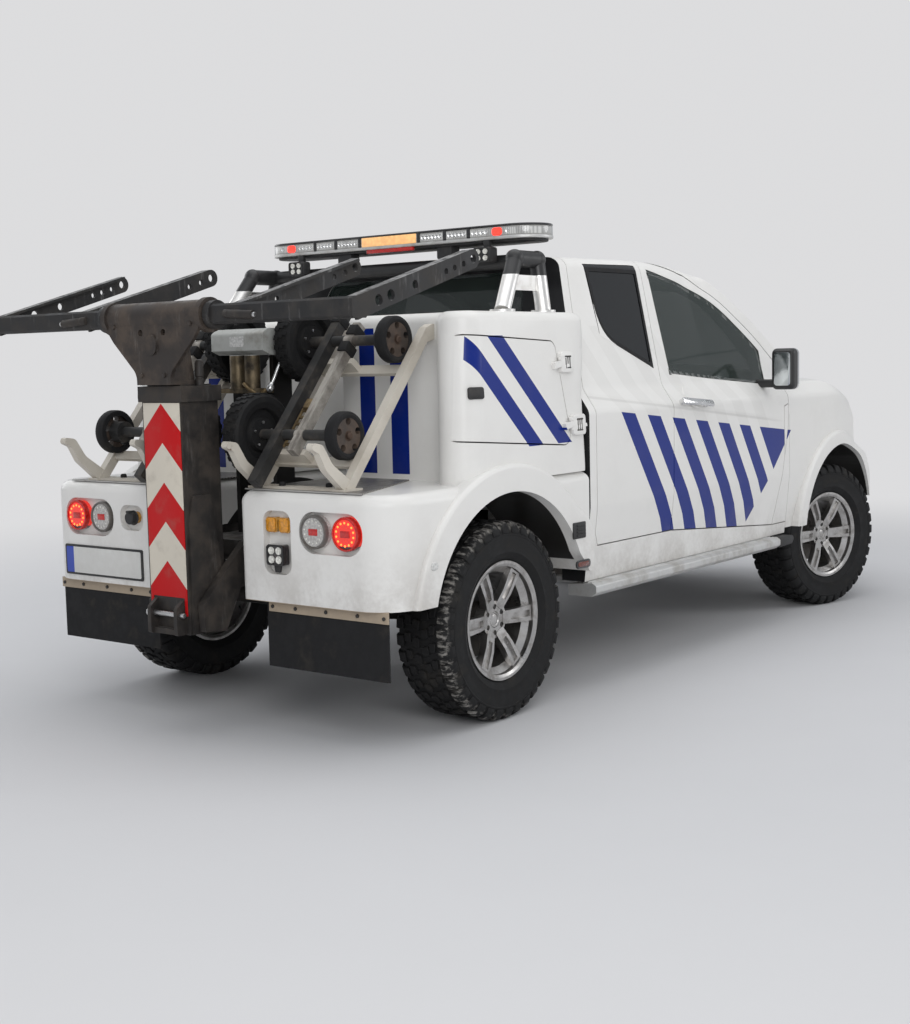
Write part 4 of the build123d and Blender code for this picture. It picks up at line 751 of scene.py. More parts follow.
for side in sides:
    nodeFinish.update({f"{stem}_{side}": finish for stem, finish in pairFinish.items()})
    for end in ("front", "rear"):
        nodeFinish[f"tyre_{end}_{side}"] = "tyre"
        nodeFinish[f"wheel_{end}_{side}"] = "alloy"
for name, node in nodes.items():
    node.data.materials.clear()
    node.data.materials.append(finishes[nodeFinish[name]])
    activate(node)
    bpy.ops.object.shade_smooth_by_angle(angle=math.radians(30))
print("CAD nodes dressed")


# Nose and cab top: rounder than the plain CAD forms, by one smooth shift of each copied node

bodyOf = {name: body for body, held in frame["record"]["behaviour"]["bodies"].items() for name in held}
noseShape = {"from": 3.0, "to": 3.8, "low": 0.78, "high": 1.00, "inHigh": 0.13, "inLow": 0.05, "drop": 0.16,
             "sweep": 0.10, "sweepFrom": (3.4, 4.0), "half": 0.9,
             "nodes": ["front_wings", "bonnet", "headlamps", "grille", "front_bumper"]}
cabShape = {"belt": 1.25, "eaves": 1.735, "pillar": (2.0, 1.663, -0.567), "windowTop": 1.687,
            "windowPillar": (1.744, 1.687, -0.568), "flatten": 0.55,
            "roofLine": [(0.40, 1.780), (0.83, 1.794), (1.41, 1.801), (1.665, 1.787), (1.80, 1.768),
                         (1.938, 1.737), (2.05, 1.689), (2.146, 1.639), (2.407, 1.491), (2.553, 1.399),
                         (2.70, 1.290), (2.80, 1.209), (3.00, 1.096)],
            "windowLine": [(0.40, 1.750), (1.30, 1.750), (1.456, 1.735), (1.68, 1.712), (1.84, 1.671),
                           (1.992, 1.606), (2.135, 1.516), (2.257, 1.439), (2.33, 1.385), (2.50, 1.240),
                           (3.00, 1.000)],
            "nodes": ["cab_shell", "cab_glass"]}
for stem in ("front_door_", "front_glass_", "access_door_", "access_glass_"):
    cabShape["nodes"] += [stem + side for side in sides]


def eased(low, high, value):
    share = min(1.0, max(0.0, (value - low) / (high - low)))
    return share * share * (3 - 2 * share)


def noseShift(place):
    n = noseShape
    x, y, z = place.x - rearAxle, place.y, place.z
    along, high = eased(n["from"], n["to"], x), eased(n["low"], n["high"], z)
    side = min(1.0, abs(y) / n["half"])
    back = n["sweep"] * side ** 3 * eased(*n["sweepFrom"], x)
    inward = along * (n["inHigh"] * high + n["inLow"] * (1 - high))
    return Vector((place.x - back, y * (1 - inward), z - n["drop"] * along * high * side ** 1.5))


def lineHeight(points, x):
    for (x0, z0), (x1, z1) in zip(points, points[1:]):
        if x <= x1:
            return z0 + (z1 - z0) * (x - x0) / (x1 - x0)
    return points[-1][1]


def raisedBy(x, line, top, slant):
    # The plain CAD height of a line at x, and how far it rises to the wanted one.
    startX, startZ, slope = slant
    plain = min(top, startZ + slope * (x - startX))
    wanted = sum(lineHeight(line, x + step) for step in (-0.06, 0.0, 0.06)) / 3
    return plain, max(0.0, wanted - plain)


def cabShift(place):
    c = cabShape
    x, z = place.x - rearAxle, place.z
    roof, roofRise = raisedBy(x, c["roofLine"], c["eaves"], c["pillar"])
    window, windowRise = raisedBy(x, c["windowLine"], c["windowTop"], c["windowPillar"])
    low = min(1.0, max(0.0, (z - c["belt"]) / max(0.03, window - c["belt"])))
    high = min(1.0, max(0.0, (z - window) / max(0.02, roof - window)))
    crown = max(0.0, z - roof) * (c["flatten"] + 0.25 * eased(1.40, 1.80, x)) * eased(1.35, 1.65, z)
    return Vector((place.x, place.y, z + windowRise * low * (1 - high) + roofRise * high - crown))


podShape = {"from": 0.445, "to": 0.480, "push": 0.040, "midPush": 0.011, "topPush": 0.028,
            "nodes": ["rear_body"]}


def podShift(place):
    p = podShape
    push = p["push"] + p["midPush"] * eased(0.85, 0.95, place.z) + p["topPush"] * eased(1.20, 1.45, place.z)
    return Vector((place.x + push * eased(p["from"], p["to"], place.x - rearAxle), place.y, place.z))


def reshape(piece, shift, longest=0.055):
    # Splits a piece's long edges, so that it can curve, and moves its points.
    activate(piece)
    for step in range(6):
        bpy.ops.object.mode_set(mode="EDIT")
        bpy.ops.mesh.select_mode(type="EDGE")
        bpy.ops.mesh.select_all(action="DESELECT")
        leaveEdit()
        places = [corner.co.copy() for corner in piece.data.vertices]
        moves = [(shift(place) - place).length > 0.0001 for place in places]
        tooLong = []
        for edge in piece.data.edges:
            a, b = edge.vertices
            if (moves[a] or moves[b]) and (places[a] - places[b]).length > longest:
                tooLong.append(edge)
        if not tooLong:
            break
        for edge in tooLong:
            edge.select = True
        bpy.ops.object.mode_set(mode="EDIT")
        bpy.ops.mesh.subdivide(number_cuts=1)
        bpy.ops.mesh.select_all(action="SELECT")
        bpy.ops.mesh.quads_convert_to_tris()
        leaveEdit()
    for corner in piece.data.vertices:
        corner.co = shift(corner.co)
    piece.data.update()
    return piece


def copyOfNode(name, newName):
    piece = bpy.data.objects.new(newName, nodes[name].data.copy())
    bpy.context.scene.collection.objects.link(piece)
    activate(piece)
    bpy.ops.mesh.customdata_custom_splitnormals_clear()
    editAll()
    bpy.ops.mesh.remove_doubles(threshold=0.00001)
    leaveEdit()
    return piece


for shape, shift, longest in ((noseShape, noseShift, 0.055), (cabShape, cabShift, 0.055),
                              (podShape, podShift, 9.0)):
    for name in shape["nodes"]:
        piece = reshape(copyOfNode(name, name + "_form"), shift, longest)
        dress(piece, nodeFinish[name], bodyOf[name], 30)
        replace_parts(piece, name)
print("nose and cab top")


# Seats: each cushion starts from its CAD form, drawn in, then blown up between its seams

padding = {"voxel": 0.0115, "drawIn": 0.011, "pressure": 4.0, "frames": 20, "cap": 0.020, "seamDeep": 0.006,
           "seamWide": 0.012}
channels = {  # kind of pad, by size: seams run along these offsets from its middle
    "cushion": {"up": 2, "across": 1, "lines": [-0.155, 0.155], "along": 0, "ribs": [-0.12, 0.0, 0.12]},
    "back": {"up": 0, "across": 1, "lines": [-0.150, 0.150], "along": 2, "ribs": [-0.16, -0.04, 0.08]},
}


def puffUp(piece):
    # Cloth pressure on a remeshed form, with each point's travel capped.
    activate(piece)
    piece.data.remesh_voxel_size = padding["voxel"]
    bpy.ops.object.voxel_remesh()
    start = [corner.co - corner.normal * padding["drawIn"] for corner in piece.data.vertices]
    for corner, home in zip(piece.data.vertices, start):
        corner.co = home
    cloth = piece.modifiers.new("puff", "CLOTH")
    cloth.settings.use_pressure = True
    cloth.settings.uniform_pressure_force = padding["pressure"]
    cloth.settings.effector_weights.gravity = 0
    cloth.point_cache.frame_end = padding["frames"]
    for frameNumber in range(1, padding["frames"] + 1):
        bpy.context.scene.frame_set(frameNumber)
    bpy.ops.object.modifier_apply(modifier="puff")
    bpy.context.scene.frame_set(1)
    for corner, home in zip(piece.data.vertices, start):
        move = corner.co - home
        if move.length > padding["cap"]:
            corner.co = home + move.normalized() * padding["cap"]
    finer = piece.modifiers.new("finer", "SUBSURF")
    finer.levels = 1
    finer.render_levels = 1
    bpy.ops.object.modifier_apply(modifier="finer")
    return piece


def sewSeams(piece, plan):
    # Presses the seams into the side that faces the sitter.
    corners = piece.data.vertices
    low = Vector([min(corner.co[axis] for corner in corners) for axis in range(3)])
    high = Vector([max(corner.co[axis] for corner in corners) for axis in range(3)])
    middle, wide = (low + high) / 2, padding["seamWide"]
    places = []
    for corner in corners:
        across = corner.co[plan["across"]] - middle[plan["across"]]
        along = corner.co[plan["along"]] - middle[plan["along"]]
        press = sum(math.exp(-((across - line) / wide) ** 2) for line in plan["lines"])
        if abs(across) < plan["lines"][1]:
            press += sum(math.exp(-((along - line) / wide) ** 2) for line in plan["ribs"])
        facing = abs(corner.normal[plan["up"]]) > 0.35
        places.append(corner.co - corner.normal * padding["seamDeep"] * min(1.0, press) * facing)
    for corner, place in zip(corners, places):
        corner.co = place
    return piece


whole = copyOfNode("seats", "seatForms")
activate(whole)
bpy.ops.mesh.separate(type="LOOSE")
forms = list(bpy.context.selected_objects)
pads = 0
for form in forms:
    corners = [corner.co for corner in form.data.vertices]
    if sum(corner.y for corner in corners) > 0:
        discard(form)
        continue
    tall = max(corner.z for corner in corners) - min(corner.z for corner in corners)
    wide = max(corner.y for corner in corners) - min(corner.y for corner in corners)
    kind = "cushion" if tall < 0.14 else "back" if wide > 0.3 else "headrest"
    puffUp(form)
    if kind in channels:
        sewSeams(form, channels[kind])
    form.name = f"{kind}Right{pads}"
    twin = mirroredCopy(form, f"{kind}Left{pads}")
    for item in (form, twin):
        dress(item, "cloth", angle=60)
        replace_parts(item, "seats")
    pads += 1
print("seats:", pads * 2, "pads")


# Outlines seen from one side

def roundedBox(u, v, width, height, radius, steps=4):
    corners = []
    for turn, (du, dv) in enumerate([(1, 1), (-1, 1), (-1, -1), (1, -1)]):
        for step in range(steps + 1):
            angle = math.radians(90 * turn + 90 * step / steps)
            corners.append((u + du * (width / 2 - radius) + radius * math.cos(angle),
                            v + dv * (height / 2 - radius) + radius * math.sin(angle)))
    return corners


surfaceTrees = {}
looks = {"right": (1, Vector((0, 1, 0))), "rear": (0, Vector((1, 0, 0))), "top": (2, Vector((0, 0, -1)))}


def castOn(nodeName, start, way):
    # Place and normal where a line from start meets a node's surface
    if nodeName not in surfaceTrees:
        mesh = nodes[nodeName].data
        corners = [corner.co for corner in mesh.vertices]
        surfaceTrees[nodeName] = BVHTree.FromPolygons(corners, [face.vertices for face in mesh.polygons])
    return surfaceTrees[nodeName].ray_cast(start, way)[:2]


def fitted(name, nodeName, look, points, thick, edge=0.0015, sink=0.002, lift=0.0):
    # Lays an outline on a node's surface as seen from one side, and gives it a thickness.
    axis, way = looks[look]
    keep = [index for index in range(3) if index != axis]

    def inSpace(point, depth):
        place = Vector((0, 0, 0))
        place[keep[0]], place[keep[1]], place[axis] = point[0], point[1], depth
        return place + Vector((rearAxle if axis != 0 else 0, 0, 0))

    middle = [sum(point[index] for point in points) / len(points) for index in (0, 1)]
    anchor, normal = castOn(nodeName, inSpace(middle, 0) - way * 5, way)
    normal = -normal if normal.dot(way) > 0 else normal
    corners = []
    for point in points:
        corner = inSpace(point, anchor[axis])
        corner[axis] -= normal.dot(corner - anchor) / normal[axis]
        corners.append(corner + normal * (lift - sink))
    return outlinePiece(name, corners, normal * (thick + sink), edge)


def onBothSides(piece, name, finish, bodyStem="vehicle"):
    # Dresses a right-hand piece and its mirror image. bodyStem ends with _ when each side has its own body.
    twin = mirroredCopy(piece, name + "Left")
    piece.name = name + "Right"
    for side, item in (("right", piece), ("left", twin)):
        body = bodyStem + side if bodyStem.endswith("_") else bodyStem
        dress(item, finish, body)
    return piece, twin


def ringCopies(piece, centre, axis, count):
    activate(piece)
    editAll()
    bpy.ops.mesh.spin(steps=count - 1, dupli=True, angle=math.tau * (count - 1) / count, center=centre,
                      axis=axis)
    leaveEdit()
    return piece


# Tyres: a carcass spun from its section, then lugs and blocks copied round it

tyreShape = {
    "facets": 72, "count": 36, "top": 0.3803, "base": 0.3705,
    "outer": [(0.2173, 0.084), (0.2173, 0.098), (0.231, 0.098), (0.242, 0.1120), (0.260, 0.1205),
              (0.262, 0.1225), (0.267, 0.1225), (0.269, 0.1215), (0.300, 0.1262), (0.326, 0.1255),
              (0.328, 0.1272), (0.333, 0.1270), (0.335, 0.1245), (0.352, 0.1180), (0.3655, 0.1070),
              (0.3712, 0.0950), (0.3725, 0.0600)],
    "inner": [(0.246, 0.098), (0.300, 0.110), (0.347, 0.101), (0.363, 0.085)],
    "lug": [(0.0780, 0.3660), (0.0780, 0.3803), (0.0985, 0.3803), (0.1140, 0.3735), (0.1240, 0.3560),
            (0.1274, 0.3360), (0.1200, 0.3330), (0.1000, 0.3560)],
    "lugLong": 0.042,
    "blocks": [  # middle across the tread, outline of one block
        (0.020, [(-0.021, -0.015), (0.013, -0.017), (0.021, 0.004), (0.012, 0.016), (-0.016, 0.013)]),
        (0.056, [(-0.018, -0.014), (0.016, -0.010), (0.018, 0.014), (-0.012, 0.017), (-0.021, 0.004)]),
    ],
}


def treadedTyre():
    t = tyreShape
    section = t["outer"] + [(r, -w) for r, w in reversed(t["outer"])]
    section += [(r, -w) for r, w in t["inner"]] + list(reversed(t["inner"]))
    pieces = [spunPiece("carcass", section, Vector((0, 0, 0)), (0, 1, 0), t["facets"])]
    for side in (-1, 1):
        corners = [(-t["lugLong"] / 2, side * w, r) for w, r in t["lug"]]
        lug = outlinePiece("lug", corners, Vector((t["lugLong"], 0, 0)), 0.0022, 1)
        lug.rotation_euler = (0, math.tau / t["count"] * (0.5 if side > 0 else 0), 0)
        pieces.append(ringCopies(settle(lug), (0, 0, 0), (0, 1, 0), t["count"]))
        for row, (middle, outline) in enumerate(t["blocks"]):
            corners = [(x * side, side * middle + y, t["base"]) for x, y in outline]
            block = outlinePiece("block", corners, Vector((0, 0, t["top"] - t["base"])), 0.0016, 1)
            block.rotation_euler = (0, math.tau / t["count"] * (0.25 * row + (0.5 if side > 0 else 0)), 0)
            pieces.append(ringCopies(settle(block), (0, 0, 0), (0, 1, 0), t["count"]))
    return joinAs("tyreMould", pieces)


hubs = {  # node's end of its name: hub centre, side, turned to the right by, body
    "rear_right": ((0, -0.785), -1, 0), "rear_left": ((0, 0.785), 1, 0),
    "front_right": ((3.0639, -0.7809), -1, 15), "front_left": ((3.1261, 0.7809), 1, 15),
}


def atHub(mould, name, hub):
    # A copy of a piece drawn round the Y axis with its outer face to the right, set on one hub.
    (x, y), side, steer = hubs[hub]
    twin = copyOf(mould, name) if side < 0 else mirroredCopy(mould, name)
    turned = Matrix.Rotation(math.radians(-steer), 4, "Z")
    twin.matrix_world = Matrix.Translation(spot(x, y, wheelRadius)) @ turned
    return settle(twin)


tyreMould = treadedTyre()
wheelNut = {"circle": 0.050, "radius": 0.0088, "face": 0.0625, "foot": 0.053, "count": 6}
nutTurn = math.pi / wheelNut["count"]
nutX, nutZ = wheelNut["circle"] * math.cos(nutTurn), wheelNut["circle"] * math.sin(nutTurn)
nut = rodPiece("nut", Vector((nutX, -wheelNut["foot"], nutZ)), Vector((nutX, -wheelNut["face"], nutZ)),
               wheelNut["radius"], 0.0015, 6)
nutMould = ringCopies(nut, (0, 0, 0), (0, 1, 0), wheelNut["count"])
capProfile = [(0, 0.0655), (0.010, 0.0652), (0.018, 0.0640), (0.0215, 0.0620), (0.0235, 0.0650),
              (0.0275, 0.0655), (0.0298, 0.0635), (0.0300, 0.0550), (0, 0.0550)]
capMould = spunPiece("capMould", [(r, -a) for r, a in capProfile], Vector((0, 0, 0)), (0, 1, 0), 40)
wheelBodies = {hub: hub.split("_")[0] + "_wheel_" + hub.split("_")[1] for hub in hubs}
for hub, body in wheelBodies.items():
    tyre = dress(atHub(tyreMould, "tread_" + hub, hub), "tyre", body, 40)
    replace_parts(tyre, "tyre_" + hub)
    dress(atHub(nutMould, "nuts_" + hub, hub), "chassis", body)
    dress(atHub(capMould, "cap_" + hub, hub), "alloy", body)
for mould in (tyreMould, nutMould, capMould):
    discard(mould)
print("tyres and wheel trim")


# Mast and head

board = {"skin": -0.8704, "thick": 0.0026, "half": 0.098, "low": 0.46, "notch": 0.084, "notchTop": 0.526,
         "top": 1.240}
outline = [(-board["half"], board["low"]), (-board["notch"], board["low"]),
           (-board["notch"], board["notchTop"]), (board["notch"], board["notchTop"]),
           (board["notch"], board["low"]), (board["half"], board["low"]), (board["half"], board["top"]),
           (-board["half"], board["top"])]
dress(rearPlate("chevronBoard", board["skin"], outline, board["thick"], 0.0006), "chevron",
      "mast")

towPin = {"x": -0.889, "z": 0.465, "radius": 0.0098, "head": 0.015, "headThick": 0.012,
          "left": 0.096, "right": -0.098}
pinLeft, pinRight = (spot(towPin["x"], towPin[end], towPin["z"]) for end in ("left", "right"))
shank = rodPiece("shank", pinRight, pinLeft, towPin["radius"])
head = rodPiece("head", pinLeft - Vector((0, towPin["headThick"], 0)), pinLeft, towPin["head"])
dress(joinAs("towPin", [shank, head]), "rod", "mast")

ramStub = {"x": -0.772, "y": -0.101, "low": 1.3005, "top": 1.395, "radius": 0.0165}
stub = [(0, ramStub["low"]), (ramStub["radius"], ramStub["low"]), (ramStub["radius"], 1.322),
        (0.0130, 1.325), (0.0130, 1.331), (ramStub["radius"], 1.334), (ramStub["radius"], 1.380),
        (0.0120, 1.392), (0.0060, ramStub["top"]), (0, ramStub["top"])]
piece = spunPiece("liftRamTop", stub, spot(ramStub["x"], ramStub["y"], 0), (0, 0, 1), 28)
dress(piece, "steel", "mast")

barPin = {"x": -0.8945, "inner": 0.372, "outer": 0.511, "innerZ": 1.549, "outerZ": 1.541, "radius": 0.0150,
          "tip": 0.012}
for side, sign in sides.items():
    inner, outer = (spot(barPin["x"], sign * barPin[key], barPin[key + "Z"]) for key in ("inner", "outer"))
    grip = rodPiece("grip", inner, outer, barPin["radius"], 0.004)
    collar = rodPiece("collar", inner.lerp(outer, 0.12), inner.lerp(outer, 0.2), 0.0153, 0.001)
    dress(joinAs("barPin_" + side, [grip, collar]), "steel", "cradle_" + side)
    end = outer + (outer - inner).normalized() * barPin["tip"]
    tip = rodPiece("barPinTip_" + side, outer.lerp(inner, 0.02), end, 0.0095, 0.003)
    dress(tip, "rod", "cradle_" + side)

headBolt = {"x": -0.9022, "places": [(0.205, 1.520), (-0.205, 1.520), (0.060, 1.340), (-0.060, 1.340)],
            "radius": 0.009, "stand": 0.006}
bolts = [boltHead(headBolt["x"], y, z, headBolt["radius"], headBolt["stand"])
         for y, z in headBolt["places"]]
dress(joinAs("headBolts", bolts), "headSteel", "extension")
print("mast and head")


# Rear lamps, plate and flaps

ledRing = {"radius": 0.0405, "dot": 0.0043, "count": 14, "face": -0.7042, "stand": 0.0026, "centreZ": 0.778,
           "bezelIn": 0.0525, "bezelOut": 0.0612}
bezel = [(ledRing["bezelIn"], 0.0005), (0.0545, 0.0045), (0.0590, 0.0040), (ledRing["bezelOut"], -0.0005),
         (ledRing["bezelOut"], -0.016), (ledRing["bezelIn"], -0.016)]
lampKinds = {0.577: ("clear", "cast", "led"), 0.728: ("red", "red", "redDot")}
for side, sign in sides.items():
    for y, (kind, bezelFinish, dotFinish) in lampKinds.items():
        centre = spot(ledRing["face"], sign * y, ledRing["centreZ"])
        away = Vector((-1, 0, 0))
        rim = spunPiece(f"bezel_{kind}_{side}", bezel, centre, away, 48)
        dress(rim, bezelFinish)
        foot = centre + Vector((0, 0, ledRing["radius"]))
        dot = rodPiece("dot", foot, foot + away * ledRing["stand"], ledRing["dot"], 0.0012, 12)
        ringCopies(dot, centre, away, ledRing["count"])
        dot.name = f"ledRing_{kind}_{side}"
        dress(dot, dotFinish)
        low, high = centre + Vector((0.002, -0.021, -0.012)), centre + Vector((-0.0024, 0.021, 0.012))
        bar = boxPiece(f"lampBar_{kind}_{side}", low, high, 0.0015)
        dress(bar, "red")


def ledCup(name, centre, way, radius):
    # A small mirror bowl with a clear dome in it.
    profile = [(0, 0.0015), (radius * 0.35, 0.0012), (radius * 0.42, 0.0002), (radius * 0.9, 0.0034),
               (radius, 0.0030), (radius, -0.003), (0, -0.003)]
    return spunPiece(name, profile, centre, way, 20)


def workLamp(name, centre, way, across, up):
    # Four bowls in a black frame with a sunken middle.
    cups = []
    for u in (-0.5, 0.5):
        for v in (-0.5, 0.5):
            place = centre + Vector((0, u * across * 0.44, v * up * 0.44)) + way * 0.001
            cups.append(ledCup("cup", place, way, min(across, up) * 0.19))
    dress(joinAs(name + "Bowls", cups), "led")
    outer = [centre + Vector((0, y, z)) for y, z in roundedBox(0, 0, across, up, 0.012)]
    frameRing = outlinePiece(name + "Frame", [place - way * 0.004 for place in outer], way * 0.010, 0)
    activate(frameRing)
    bpy.ops.object.mode_set(mode="EDIT")
    bpy.ops.mesh.select_all(action="DESELECT")
    leaveEdit()
    for face in frameRing.data.polygons:
        face.select = len(face.vertices) > 4 and face.normal.dot(way) > 0.9
    bpy.ops.object.mode_set(mode="EDIT")
    bpy.ops.mesh.select_mode(type="FACE")
    bpy.ops.mesh.inset(thickness=0.006, depth=0)
    bpy.ops.mesh.extrude_region_move(TRANSFORM_OT_translate={"value": -way * 0.0065})
    leaveEdit()
    softenEdges(frameRing, 0.001, 1, 30)
    dress(frameRing, "black")


backward = Vector((-1, 0, 0))
workLamp("podLamp", spot(-0.712, -0.396, 0.686), backward, 0.082, 0.074)
podBack = -0.694
footOutline = [(-0.414, 0.652), (-0.378, 0.652), (-0.384, 0.622), (-0.408, 0.622)]
dress(rearPlate("podLampFoot", podBack, footOutline, 0.010), "black")
for y in (-0.364, -0.428):
    marker = rearPlate(f"amberLens_{-y:.3f}", podBack, roundedBox(y, 0.794, 0.044, 0.050, 0.010), 0.006,
                       0.003)
    dress(marker, "amber")
socketCap = [(0, 0.010), (0.020, 0.0095), (0.0245, 0.006), (0.0255, -0.012), (0.0295, -0.014),
             (0.0295, -0.018), (0, -0.018)]
piece = spunPiece("socketCap", socketCap, spot(-0.708, 0.396, 0.782), backward, 32)
lid = boxPiece("lid", spot(-0.722, 0.386, 0.802), spot(-0.700, 0.406, 0.812), 0.003)
dress(joinAs("trailerSocket", [piece, lid]), "black")

plate = {"y": 0.575, "z": 0.596, "left": 0.803, "blue": 0.045, "back": -0.7002,
         "holder": (0.476, 0.124, 0.008), "blank": (0.456, 0.106, 0.007), "holderThick": 0.005,
         "blankThick": 0.002, "sunk": 0.0005}
outline = roundedBox(plate["y"], plate["z"], *plate["holder"])
dress(rearPlate("plateHolder", plate["back"], outline, plate["holderThick"], 0.0015), "black")
outline = roundedBox(plate["y"], plate["z"], *plate["blank"])
blankBack = plate["back"] - plate["holderThick"] + plate["sunk"]
blank = rearPlate("plateBlank", blankBack, outline, plate["blankThick"], 0.0006)
finish, tree, coords, axes, shader = startFinish("plateFilm", Roughness=0.35)
blueEnd = ramp(tree, axes[1], plate["left"] - plate["blue"] - 0.001, plate["left"] - plate["blue"])
film = tint(tree, noise(tree, coords, 30, 5), (0.72, 0.72, 0.70), (0.60, 0.59, 0.56))
setColour(tree, shader, tint(tree, blueEnd, film, (0.01, 0.05, 0.42)))
finishes["plate"] = finish
dress(blank, "plate")

flapBolts = {"places": [0.335, 0.449, 0.598, 0.747, 0.868], "z": 0.489, "face": -0.672, "radius": 0.0075,
             "stand": 0.005}
for side, sign in sides.items():
    heads = [boltHead(flapBolts["face"], sign * y, flapBolts["z"], flapBolts["radius"], flapBolts["stand"])
             for y in flapBolts["places"]]
    dress(joinAs("flapBolts_" + side, heads), "chassis")
print("rear lamps and flaps")


# Light bar

bar = {"x": 0.560, "half": 0.7500, "depth": 0.235, "baseLow": 1.8455, "railLow": 1.8555, "railHigh": 1.8685,
       "lensLow": 1.8670, "lensHigh": 1.9060, "top": 1.9160, "dividers": [0.165, 0.305, 0.430],
       "dividerHalf": 0.0085, "signHalf": 0.152, "redAt": 0.575, "steps": 14, "ledRadius": 0.0085,
       # each row of lamps: from, to, how many
       "ledRows": [(0.180, 0.290, 6), (0.322, 0.415, 5), (0.445, 0.530, 4), (0.615, 0.640, 1)],
       "feet": (0.470, 0.530, 0.240, 0.320, 1.7955), "lamp": (0.412, 0.465, 0.476, 0.564, 1.763, 1.826),
       "stem": (0.443, 0.464, 0.505, 0.535)}
barMiddle = (bar["lensLow"] + bar["lensHigh"]) / 2


def barOutline(grow, z):
    # The bar's rounded ends and long sides, seen from above.
    half, radius = bar["half"] - bar["depth"] / 2, bar["depth"] / 2 + grow
    places = []
    for sign in (1, -1):
        for step in range(bar["steps"] + 1):
            angle = math.pi * step / bar["steps"]
            places.append(spot(bar["x"] + sign * radius * math.cos(angle),
                               sign * (half + radius * math.sin(angle)), z))
    return places


def barLayer(name, grow, low, high, edge, finish):
    piece = outlinePiece(name, barOutline(grow, low), Vector((0, 0, high - low)), edge, 3)
    return dress(piece, finish, angle=50)


barLayer("barLens", -0.002, bar["lensLow"], bar["lensHigh"], 0.003, "barLens")
barLayer("barRail", 0.0, bar["railLow"], bar["railHigh"], 0.003, "step")
barLayer("barTop", -0.001, bar["lensHigh"] - 0.001, bar["top"], 0.007, "gloss")
joint = 0.002  # how far one part of the bar reaches into the next
baseHigh = bar["railLow"] + joint - bar["baseLow"]
under = [outlinePiece("base", barOutline(-0.020, bar["baseLow"]), Vector((0, 0, baseHigh)), 0.003)]
x0, x1, y0, y1, footLow = bar["feet"]
lampX0, lampX1, lampY0, lampY1, lampLow, lampHigh = bar["lamp"]
stemX0, stemX1, stemY0, stemY1 = bar["stem"]
for sign in (-1, 1):
    foot = boxPiece("foot", spot(x0, sign * y0, footLow), spot(x1, sign * y1, bar["baseLow"] + joint),
                    0.006)
    housing = boxPiece("housing", spot(lampX0, sign * lampY0, lampLow),
                       spot(lampX1, sign * lampY1, lampHigh), 0.010, 3)
    stem = boxPiece("stem", spot(stemX0, sign * stemY0, lampHigh - joint),
                    spot(stemX1, sign * stemY1, bar["railLow"] + joint), 0.003)
    under += [foot, housing, stem]
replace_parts(dress(joinAs("barUnderside", under), "black"), "light_bar")
barRear, barFront = bar["x"] - bar["depth"] / 2, bar["x"] + bar["depth"] / 2
dividers = []
for y in bar["dividers"]:
    for sign in (-1, 1):
        low = spot(barRear - 0.001, sign * y - bar["dividerHalf"], bar["lensLow"] + 0.001)
        high = spot(barFront + 0.001, sign * y + bar["dividerHalf"], bar["lensHigh"] + 0.002)
        dividers.append(boxPiece("divider", low, high, 0.002))
dress(joinAs("barDividers", dividers), "gloss")
for end, sign, face in (("rear", -1, barRear), ("front", 1, barFront)):
    low = spot(face - sign * 0.006, -bar["signHalf"], bar["lensLow"] + 0.001)
    high = spot(face + sign * 0.0008, bar["signHalf"], bar["lensHigh"] + 0.001)
    dress(boxPiece("signBlank_" + end, low, high, 0.002), "sign")
    ledRows = []
    for start, stop, count in bar["ledRows"]:
        for step in range(count):
            y = start + (stop - start) * (step + 0.5) / count
            for flip in (-1, 1):
                centre = spot(face - sign * 0.0022, flip * y, barMiddle)
                ledRows.append(ledCup("cup", centre, Vector((sign, 0, 0)), bar["ledRadius"]))
    dress(joinAs("barLeds_" + end, ledRows), "chrome")
    for side, flip in sides.items():
        outline = roundedBox(flip * bar["redAt"], barMiddle, 0.050, 0.032, 0.012)
        lamp = rearPlate(f"barRed_{end}_{side}", face - sign * 0.004, outline, -sign * 0.0046)
        dress(lamp, "redGlow")
low, high = spot(0.446, -0.130, 1.838), spot(0.462, 0.130, bar["railLow"] + 0.001)
dress(boxPiece("redStrip", low, high, 0.004), "red")
for side, sign in sides.items():
    workLamp("barLamp_" + side, spot(0.4118, sign * 0.520, 1.7945), backward, 0.084, 0.060)
print("light bar")


# Doors, lockers and sides

handle = {"left": 1.322, "right": 1.597, "leftZ": 1.160, "rightZ": 1.138, "high": 0.030, "stand": 0.030,
          "thick": 0.013}
gripLong = handle["right"] - handle["left"]
slope = (handle["rightZ"] - handle["leftZ"]) / gripLong
middle = ((handle["left"] + handle["right"]) / 2, (handle["leftZ"] + handle["rightZ"]) / 2)
grip = [(x, z + slope * (x - middle[0]))
        for x, z in roundedBox(*middle, gripLong, handle["high"], 0.014, 6)]
lift = handle["stand"] - handle["thick"]
piece = fitted("handleGrip", "front_door_right", "right", grip, handle["thick"], 0.005, 0, lift)
feet = [piece]
for place in (handle["left"] + 0.030, handle["right"] - 0.034):
    z = handle["leftZ"] + slope * (place - handle["left"])
    outline = roundedBox(place, z, 0.042, 0.024, 0.010)
    feet.append(fitted("handleFoot", "front_door_right", "right", outline, 0.020, 0.004))
onBothSides(joinAs("handle", feet), "doorHandle", "chrome", "front_door_body_")
anchor, normal = castOn("front_door_right", spot(1.466, -1.3, 1.180), Vector((0, 1, 0)))
dish = [(0, 0.0008), (0.030, 0.0010), (0.044, 0.0022), (0.052, 0.0040), (0.057, 0.0034), (0.060, -0.002),
        (0, -0.002)]
onBothSides(spunPiece("dish", dish, anchor, normal, 40), "handleDish", "white",
            "front_door_body_")

